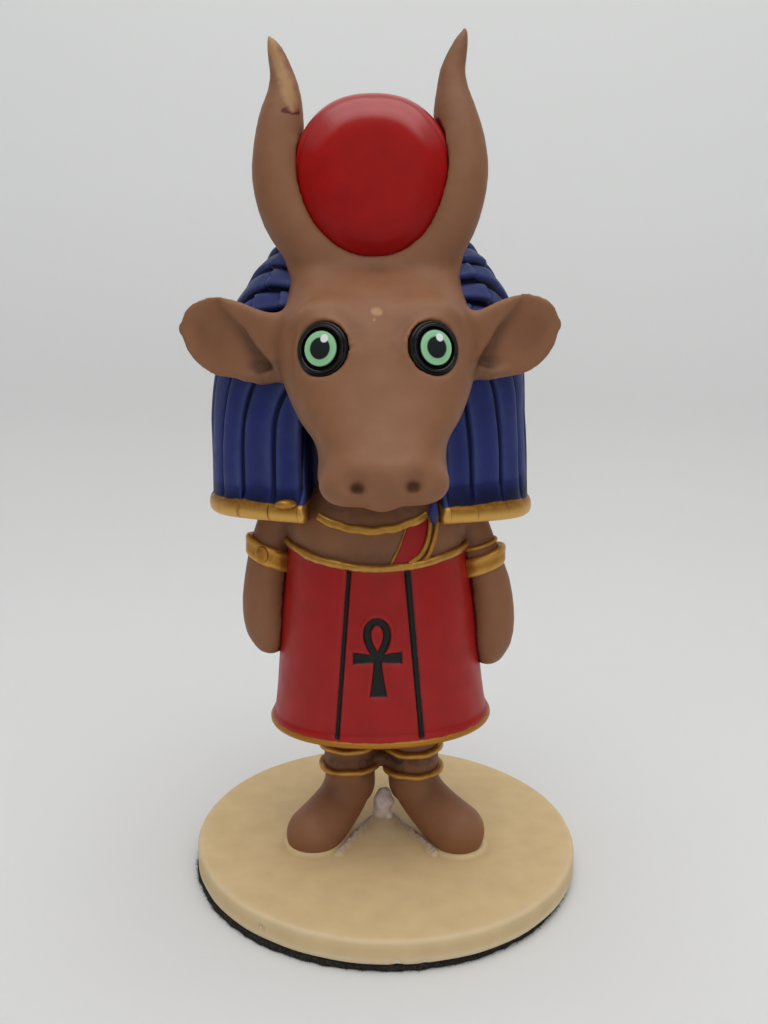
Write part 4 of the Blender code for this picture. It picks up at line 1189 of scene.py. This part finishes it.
def runTree(item, tree, values):
    # the mesh that the tree makes of an object's path or mesh
    modifier = item.modifiers.new(tree.name, "NODES")
    modifier.node_group = tree
    sockets = {socket.name: socket.identifier for socket in tree.interface.items_tree
               if socket.in_out == "INPUT"}
    for label, value in values.items():
        modifier[sockets[label]] = value
    bpy.context.view_layer.update()
    graph = bpy.context.evaluated_depsgraph_get()
    mesh = bpy.data.meshes.new_from_object(item.evaluated_get(graph))
    item.modifiers.clear()
    return mesh


def makeSweepTree():
    tree, given, out = newTree("sweptBand", [
        ("Width", number, 0.001), ("Height", number, 0.001), ("Rounding", number, 0.0003),
        ("Waver", number, 0.0001), ("Waver Scale", number, 500.0), ("Steps", "NodeSocketInt", 120),
        ("Material", "NodeSocketMaterial", None)])
    path = add(tree, "GeometryNodeResampleCurve", {"Curve": given["Geometry"], "Count": given["Steps"]})
    level = add(tree, "GeometryNodeSetCurveNormal", {"Curve": path.outputs[0]}, mode="Z_UP")
    block = add(tree, "GeometryNodeCurvePrimitiveQuadrilateral", {"Width": given["Width"],
                                                                  "Height": given["Height"]})
    corner = add(tree, "GeometryNodeFilletCurve", {"Curve": block.outputs[0], "Radius": given["Rounding"],
                                                   "Count": 4, "Limit Radius": True}, mode="POLY")
    profile = add(tree, "GeometryNodeResampleCurve", {"Curve": corner.outputs[0], "Count": 20})
    swept = add(tree, "GeometryNodeCurveToMesh", {
        "Curve": level.outputs[0], "Profile Curve": profile.outputs[0], "Fill Caps": True})
    place = add(tree, "GeometryNodeInputPosition")
    noise = add(tree, "ShaderNodeTexNoise", {"Vector": place.outputs[0], "Scale": given["Waver Scale"],
                                             "Detail": 2.0})
    reach = maths(tree, "MULTIPLY", maths(tree, "SUBTRACT", noise.outputs[0], 0.5), given["Waver"])
    normal = add(tree, "GeometryNodeInputNormal")
    offset = add(tree, "ShaderNodeVectorMath", {0: normal.outputs[0], "Scale": reach}, operation="SCALE")
    moved = add(tree, "GeometryNodeSetPosition", {"Geometry": swept.outputs[0], "Offset": offset.outputs[0]})
    real = add(tree, "GeometryNodeRealizeInstances", {"Geometry": moved.outputs[0]})
    return paintResult(tree, real, given, out)


sweepTree = makeSweepTree()
goldPaint = goldMaterial()


def bandSizes(width, height, rounding, waver, waverScale, steps):
    return {"Width": width * mm, "Height": height * mm, "Rounding": rounding * mm, "Waver": waver * mm,
            "Waver Scale": waverScale, "Steps": steps}


def sweepBand(name, path, sizes, closed=True, scales=None):
    # path in drawn millimetres; scales widen the band point by point
    curve = bpy.data.curves.new(name, "CURVE")
    curve.dimensions = "3D"
    spline = curve.splines.new("POLY")
    spline.points.add(len(path) - 1)
    scales = np.ones(len(path)) if scales is None else scales
    for knot, point, scale in zip(spline.points, stand(path), scales):
        knot.co = (*point, 1.0)
        knot.radius = scale
    spline.use_cyclic_u = closed
    rail = newObject(name + "Path", curve)
    mesh = runTree(rail, sweepTree, {"Material": goldPaint, **sizes})
    bpy.data.objects.remove(rail)
    mesh.name = name
    mesh.shade_smooth()
    item = newObject(name, mesh)
    markHollows(item, 8, 0.08)
    return item


def ringPath(x, y, z, reachX, reachFront, reachBack, power=2.0, slope=0.0, count=96, wave=0.0, seed=0.0):
    angle = fullTurn(count)
    c, s = np.cos(angle), np.sin(angle)
    dx, dy = reachX * squarer(c, power), np.where(s > 0, reachBack, reachFront) * squarer(s, power)
    height = z + slope * dx + wave * (np.sin(3 * angle + seed) + 0.6 * np.sin(7 * angle + 2 * seed))
    return np.stack([x + dx, y + dy, height], -1)


waistRing = ringPath(-0.4, 0, 0, 11.9, 10.75, 9.75, 2.1, wave=0.05, seed=1.0)
waistRing[:, 2] += waistHeight(waistRing[:, 0], waistRing[:, 1])
bands = {
    "waistband": (waistRing, bandSizes(0.9, 0.95, 0.4, 0.35, 450.0, 260)),
    "leftArmband": (ringPath(-14.6, 0, 40.05, 2.75, 2.75, 2.75, slope=-0.48),
                    bandSizes(0.9, 2.7, 0.35, 0.3, 380.0, 120)),
    "rightArmband": (ringPath(13.4, 0, 38.4, 2.85, 2.85, 2.85, slope=0.35),
                     bandSizes(1.0, 2.5, 0.42, 0.3, 380.0, 120)),
    "rightArmline": (ringPath(12.8, 0, 40.65, 2.5, 2.5, 2.5, slope=0.26),
                     bandSizes(0.7, 0.6, 0.28, 0.2, 400.0, 100)),
}
for side, x, drop, seed in (("left", bodyCast["legs"][0], 0.0, 0), ("right", bodyCast["legs"][1], 0.7, 1)):
    bands[side + "LowerAnklet"] = (ringPath(x, 0, 9.9 - drop, 3.75, 3.75, 3.75, wave=0.06, seed=seed),
                                   bandSizes(1.1, 0.75, 0.35, 0.25, 500.0, 110))
    bands[side + "UpperAnklet"] = (ringPath(x, 0, 13.0 - drop, 3.75, 3.75, 3.75, wave=0.07, seed=seed + 2),
                                   bandSizes(1.0, 0.8, 0.35, 0.25, 500.0, 110))
gaps = {"leftArmband": (-12.15, -9), "rightArmband": (9, 11.3)}   # along X; they stop short of the dress
for name, (path, sizes) in bands.items():
    scales = None
    if name in gaps:
        opening = (path[:, 0] > gaps[name][0]) & (path[:, 0] < gaps[name][1]) & (path[:, 1] < 0.4)
        first = int(np.argmax(opening & ~np.roll(opening, -1))) + 1
        path = np.roll(path, -first, 0)[:len(path) - opening.sum()]
    if name == "leftArmband":
        scales = 1 + 0.13 * np.clip((-14.6 - path[:, 0]) / 2.75, -1, 1)
    swept = sweepBand(name, path, sizes, closed=name not in gaps, scales=scales)
    dressUp(swept, goldPaint, ["figure"])


def makeClasp():
    # the flat clasp of the left armband
    ring = ringPath(-14.6, 0, 40.05, 2.95, 2.95, 2.95, slope=-0.48, count=160)
    keep = [point for point in ring if point[1] < -0.5 and -14.1 < point[0] < -12.25]
    return sweepBand("clasp", np.array(keep), bandSizes(0.75, 2.3, 0.2, 0.2, 500.0, 30), closed=False)


boss = {"centre": (-15.35, -2.97, 40.4), "turn": math.radians(-14), "across": 0.95, "up": 1.2, "out": 0.55}


def makeBoss():
    # the round boss beside the clasp
    u = np.linspace(0.02, 1, 14)[:, None]
    angle = fullTurn(40)[None]
    out = boss["out"] * np.sqrt(np.clip(1 - u**2.5, 0, 1)) - 0.35 * (u > 0.99)
    across, up = boss["across"] * u * np.cos(angle), boss["up"] * u * np.sin(angle)
    c, s = math.cos(boss["turn"]), math.sin(boss["turn"])
    x, y, z = boss["centre"]
    item = closedPiece("boss", np.stack([x + across * c + out * s, y + across * s - out * c, z + up], -1))
    markHollows(item, 8, 0.1)
    return item


for piece in (makeClasp(), makeBoss()):
    dressUp(piece, goldPaint, ["figure"])


def chestFront(x, z, proud=0.0):
    width, front, _, _ = np.moveaxis(readRows(chestRows, z), -1, 0)
    share = np.clip(np.abs((x + 0.3) / (width + proud)), 0, 1)
    return (front - proud) * (1 - share**2.2)**(1 / 2.2)


def makeNecklace():
    x = np.linspace(-7.4, 5.9, 60)
    z = 44.6 + 0.034 * (x + 0.7)**2 + 0.05 * np.sin(x * 2.3)
    scales = 0.85 + 0.2 * np.abs(np.sin(x * 1.1 + 0.4)) + 0.35 * np.exp(-((x + 6.6) / 0.6)**2)
    return sweepBand("necklace", np.stack([x, chestFront(x, z, 0.05), z], -1),
                     bandSizes(0.8, 1.15, 0.38, 0.25, 500.0, 130), closed=False, scales=scales)


dressUp(makeNecklace(), goldPaint, ["figure"])

# edges as rows of (x, z) from bottom to top
strap = {"left": [(1.2, 40.0), (2.3, 42.1), (3.1, 44.0), (3.5, 45.2)],
         "right": [(4.6, 40.0), (5.4, 41.9), (6.0, 44.0), (6.2, 45.9)], "proud": 0.3, "low": 0.6,
         "rings": 40, "columns": 26}


def makeStrap():
    # a raised patch on the chest between two edges
    t, s = np.linspace(0, 1, strap["rings"])[:, None], np.linspace(0, 1, strap["columns"])[None]
    left, right = [evenRows(strap[side], strap["rings"])[:, None] for side in ("left", "right")]
    x, z = np.moveaxis(left + (right - left) * s[..., None], -1, 0)
    edge = np.minimum(np.minimum(s, 1 - s) * 8, np.minimum(t, 1 - t) * 12 + 0.3)
    rise = strap["proud"] * np.sqrt(np.clip(1 - (1 - np.clip(edge, 0, 1))**2, 0, 1))
    front = np.stack([x, chestFront(x, z) - rise, z], -1)
    back = np.stack([x, chestFront(x, z) + strap["low"], z], -1)[:, ::-1]
    grid = np.concatenate([front, back], 1)
    far = np.full(grid.shape[:2], 5.0)
    item = closedPiece("strap", grid, {"darkLineDistance": far, "giltDistance": far})
    markHollows(item, 8, 0.1)
    return item


dressUp(makeStrap(), redPaint, ["figure"])

cords = {   # rows of (x, z) on the chest, thickness, how proud it lies
    "cordInner": ([(6.45, 45.9), (6.24, 43.98), (5.74, 42.49), (4.99, 41.38), (3.7, 40.6)], 0.62, 0.3),
    "cordOuter": ([(7.4, 45.9), (6.97, 43.6), (6.46, 42.1), (5.84, 40.98), (5.2, 40.4)], 0.62, 0.2),
    "cordEdge": ([(1.4, 40.5), (2.35, 42.2), (3.15, 44.1), (3.5, 45.2)], 0.3, 0.12)}


def makeCord(name):
    path, thick, proud = cords[name]
    x, z = evenRows(path, 40).T
    sizes = bandSizes(0.8 * thick, thick, 0.36 * thick, 0.2, 600.0, 60)
    return sweepBand(name, np.stack([x, chestFront(x, z, proud), z], -1), sizes, closed=False)


for name in cords:
    dressUp(makeCord(name), goldPaint, ["figure"])
print("gold bands swept")


def makeDrop(name, centre, reach):
    # a small egg of thick paint
    down = np.linspace(0.06, math.pi - 0.06, 24)[:, None]
    angle = fullTurn(36)[None]
    level = np.sin(down)
    ball = np.stack([level * np.cos(angle), level * np.sin(angle), np.cos(down) + 0 * angle], -1)
    far = np.full(ball.shape[:2], 5.0)
    item = closedPiece(name, ball * reach + centre, {"giltDistance": far, "darkLineDistance": far})
    markHollows(item, 8, 0.1)
    return item


trimDrop = makeDrop("trimDrop", (-11.2, -9.55, 48.12), (1.35, 0.7, 0.62))
looseLock = makeDrop("looseLock", (6.75, -9.9, 46.9), (0.6, 0.8, 1.5))
dressUp(trimDrop, goldPaint, ["figure"])
dressUp(looseLock, bluePaint, ["figure"])


# Base with its lip round the boots

base = {"radius": 26.0, "thickness": 3.0, "rounding": 0.55, "columns": 420,
        "ridges": [[(-0.6, 4.0), (-2.2, 1.8), (-4.4, -3.2), (-6.3, -7.3)],
                   [(-0.4, 4.0), (0.7, 3.3), (2.65, -0.3), (5.3, -4.5), (6.5, -7.0)]],
        "chips": [((1.4, -26.2, -2.9), 0.55), ((4.6, -25.8, -2.8), 0.3), ((-14.8, -21.4, -1.6), 0.25)]}


def baseProfile():
    # radii of the rings on top, then rows of (radius, z) from the middle over the edge to the underside
    radius, deep, rounding = base["radius"], base["thickness"], base["rounding"]
    flat = radius - rounding
    radii = [*np.linspace(0.15, 15, 110), *np.linspace(15.4, flat, 26)[:-1]]
    bends = [math.pi / 2 * i / 6 for i in range(7)]
    return radii, [*((r, 0.0) for r in radii),
                   *((flat + rounding * math.sin(t), rounding * (math.cos(t) - 1)) for t in bends),
                   *((radius + 0.04, -h) for h in np.linspace(0.8, deep - 0.25, 10)),
                   (radius - 0.1, -deep + 0.06), (radius - 0.3, -deep), (radius * 0.6, -deep), (1.0, -deep)]


def makeBase():
    radii, profile = baseProfile()
    angle = fullTurn(base["columns"])[None]
    reach, height = np.array(profile).T[..., None]
    x, y = reach * np.cos(angle), reach * np.sin(angle)
    onTop = (np.arange(len(profile)) < len(radii))[:, None]
    # a lip round the boots, and the uneven ridges beside them
    foot = readField(bodyMould, np.clip(x, -21, 21), np.clip(y, -14, 12), np.full(x.shape, 0.25))
    grain = 0.12 * np.sin(x * 5.1 + 1.7 * np.sin(y * 3.3)) * np.sin(y * 4.7 + x)
    lip = 0.42 * np.exp(-(np.maximum(foot, 0) / 0.55)**2)
    ridge = np.min([pathDistance(x, y, path) for path in base["ridges"]], 0)
    crest = (0.55 + 1.6 * grain) * np.exp(-(ridge / 0.55)**2)
    z = height + onTop * (np.maximum(lip, crest) + 0.02 * grain)
    chips = [np.sqrt((x - cx)**2 + (y - cy)**2 + (z - cz)**2) - size for (cx, cy, cz), size in base["chips"]]
    chips = np.minimum(np.min(chips, 0), 5.0)
    side = ~onTop * step01(reach, 20, 25)
    uneven = 0.03 * np.sin(angle * 9 + 1) + 0.02 * np.sin(angle * 23)
    shrink = 1 - side * (0.18 * step01(chips, 0.35, -0.1) + uneven) / base["radius"]
    grid = np.stack([x * shrink, y * shrink, z + stance["baseTop"]], -1)
    pale = np.where(onTop, ridge - 0.45, 3.0)
    item = closedPiece("base", grid, {"paleRidge": pale, "chipDistance": chips}, standing=False)
    markHollows(item, 14, 0.12)
    return item


creamPaint = creamMaterial()
dressUp(makeBase(), creamPaint, ["figure"])


# Glue lump between the boots

glue = {"low": (-5, -5.5, -1), "high": (5, 2, 8), "step": 0.16,
        "column": [(-0.35, -1.6, 3.0, 0.9), (-0.4, -2.1, 3.8, 1.2), (-0.35, -2.2, 5.0, 1.25),
                   (-0.15, -1.9, 5.9, 1.0)],
        "lumps": [(-1.0, -2.4, 3.2, 0.7), (0.4, -2.7, 3.1, 0.6), (0.5, -2.6, 5.2, 0.8),
                  (-0.9, -2.5, 5.6, 0.6)]}


def glueMaterial():
    material, shader = mixedMaterial("oldGlue", 0.3, 1.2, 4.0, "glue", "glueDeep", 0.12, coat=0.3)
    shader.inputs["Subsurface Weight"].default_value = 0.35
    shader.inputs["Subsurface Scale"].default_value = 0.0006
    return material


def makeGlue():
    mould = newMould(glue["low"], glue["high"], glue["step"])
    pour(mould, glue["low"], glue["high"], limbForm(glue["column"], 8), 0.2)
    for x, y, z, size in glue["lumps"]:
        pour(mould, glue["low"], glue["high"], ballForm((x, y, z), (size, size, size * 0.8)), 0.4)
    points, faces = skin(mould)
    return meshPiece("glueLump", stand(points), faces)


dressUp(makeGlue(), glueMaterial(), ["figure"])
print("base and glue made")


# Felt pad

felt = {"shift": (-0.35, -0.05), "columns": 300,
        "fibres": {"Length": 0.5 * mm, "Thickness": 0.035 * mm, "Seed": 3},
        "profile": [(20, 0.0), (24.5, 0.0), (25.5, 0.02), (25.75, 0.12), (25.8, 0.35), (25.8, 0.6),
                    (25.75, 0.85), (25.6, 0.95), (24, 0.98), (20, 0.98)]}


def makeFeltTree():
    # fibres scattered over the pad's edge
    tree, given, out = newTree("feltFibres", [
        ("Length", number, 0.0005), ("Thickness", number, 0.00003), ("Seed", "NodeSocketInt", 3),
        ("Material", "NodeSocketMaterial", None)])
    normal = add(tree, "GeometryNodeInputNormal")
    split = add(tree, "ShaderNodeSeparateXYZ", {0: normal.outputs[0]})
    upright = maths(tree, "ABSOLUTE", split.outputs[2])
    onSide = add(tree, "FunctionNodeCompare", {"A": upright, "B": 0.6}, data_type="FLOAT",
                 operation="LESS_THAN")
    scatter = add(tree, "GeometryNodeDistributePointsOnFaces", {
        "Mesh": given["Geometry"], "Selection": onSide.outputs[0], "Seed": given["Seed"], "Density": 9.0e6})
    line = add(tree, "GeometryNodeMeshCone", {
        "Vertices": 3, "Radius Top": 0.0, "Radius Bottom": given["Thickness"], "Depth": given["Length"]})
    lean = add(tree, "FunctionNodeRandomValue", {0: (-0.9,) * 3, 1: (0.9,) * 3, "Seed": 11},
               data_type="FLOAT_VECTOR")
    turned = add(tree, "FunctionNodeRotateRotation", {0: scatter.outputs["Rotation"], 1: lean.outputs[0]},
                 rotation_space="LOCAL")
    placed = add(tree, "GeometryNodeInstanceOnPoints", {
        "Points": scatter.outputs["Points"], "Instance": line.outputs["Mesh"], "Rotation": turned.outputs[0]})
    real = add(tree, "GeometryNodeRealizeInstances", {"Geometry": placed.outputs[0]})
    both = add(tree, "GeometryNodeJoinGeometry")
    tree.links.new(real.outputs[0], both.inputs[0])
    tree.links.new(given["Geometry"], both.inputs[0])
    return paintResult(tree, both, given, out)


def makeFelt():
    angle = fullTurn(felt["columns"])[None]
    reach, height = np.array(felt["profile"]).T[..., None]
    rough = 0.07 * np.sin(angle * 31 + 2 * np.sin(angle * 13)) + 0.05 * np.sin(angle * 71)
    reach = reach + rough * step01(reach, 24, 25.6)
    x, y = reach * np.cos(angle) + felt["shift"][0], reach * np.sin(angle) + felt["shift"][1]
    item = closedPiece("feltPad", np.stack([x, y, height * np.ones_like(x)], -1), standing=False)
    item.data = runTree(item, makeFeltTree(), {**felt["fibres"], "Material": darkFelt})
    return item


darkFelt = mixedMaterial("darkFelt", 0.95, 3.0, 6.0, "felt", "feltPale", 0.25, specular=0.2)[0]
dressUp(makeFelt(), darkFelt, ["felt_pad"])
print("felt pad made")


# Stage and light

stageSetup = {"floorEnd": 84.0, "bend": 55.0, "wallHeight": 700.0, "halfWidth": 900.0, "front": -500.0}


def stageMaterial():
    material, tree, shader = newMaterial("palePaper", 0.9, specular=0.1)
    tone = blendColour(tree, objectNoise(tree, 0.02, 3.0), paints["paper"], paints["paperPale"])
    # painted light: the paper is painted lighter towards the top
    height = add(tree, "ShaderNodeSeparateXYZ", {0: objectPlace(tree)}).outputs[2]
    rise = mapRange(tree, height, 20.0, 110.0, 0.0, 1.0)
    wire(tree, shader, blendColour(tree, rise, tone, paints["paperLit"]))
    return material


def makeStage():
    # a sheet of paper that runs back from the camera and bends up to a wall
    end, bend, half = stageSetup["floorEnd"], stageSetup["bend"], stageSetup["halfWidth"]
    turns = [math.pi / 2 * i / 12 for i in range(1, 13)]
    section = [(stageSetup["front"], 0.0), (0.0, 0.0), (end, 0.0),
               *((end + bend * math.sin(t), bend * (1 - math.cos(t))) for t in turns),
               (end + bend, stageSetup["wallHeight"])]
    points = [(x * mm, y * mm, z * mm) for y, z in section for x in (-half, half)]
    faces = [(2 * i, 2 * i + 1, 2 * i + 3, 2 * i + 2) for i in range(len(section) - 1)]
    mesh = bpy.data.meshes.new("paperSweep")
    mesh.from_pydata(points, [], faces)
    mesh.shade_smooth()
    mesh.materials.append(stageMaterial())
    newObject("paperSweep", mesh)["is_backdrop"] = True


def areaLight(name, place, aim, size, power, tint):
    data = bpy.data.lights.new(name, "AREA")
    data.shape = "RECTANGLE"
    data.size, data.size_y = size[0] * mm, size[1] * mm
    data.energy = power
    data.color = tint
    light = newObject(name, data)
    light.location = Vector(place) * mm
    light.rotation_mode = "QUATERNION"
    light.rotation_quaternion = (Vector(aim) - Vector(place)).to_track_quat("-Z", "Y")


room = {"low": (0.16, 0.16, 0.165, 1), "high": (0.95, 0.97, 1.0, 1), "strength": 0.44, "overhead": 1.0,
        "front": 0.2}


def makeLight():
    world = bpy.data.worlds.new("softRoom")
    scene.world = world
    world.use_nodes = True
    tree = world.node_tree
    background = tree.nodes["Background"]
    direction = add(tree, "ShaderNodeTexCoord").outputs["Generated"]
    height = add(tree, "ShaderNodeSeparateXYZ", {0: direction}).outputs[2]
    share = mapRange(tree, height, -0.2, 0.9, 0.0, 1.0)
    tree.links.new(blendColour(tree, share, room["low"], room["high"]), background.inputs[0])
    background.inputs[1].default_value = room["strength"]
    areaLight("overhead", (10, -80, 400), (0, 10, 30), (460, 380), room["overhead"], (1.0, 0.985, 0.965))
    areaLight("front", (60, -420, 150), (0, 0, 30), (420, 260), room["front"], (1.0, 0.99, 0.97))


makeStage()
makeLight()
scene.view_settings.view_transform = "Standard"
print("stage and light set")

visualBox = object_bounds()
sizes = {"cad": [list(corner) for corner in cadBox], "visual": [list(corner) for corner in visualBox]}
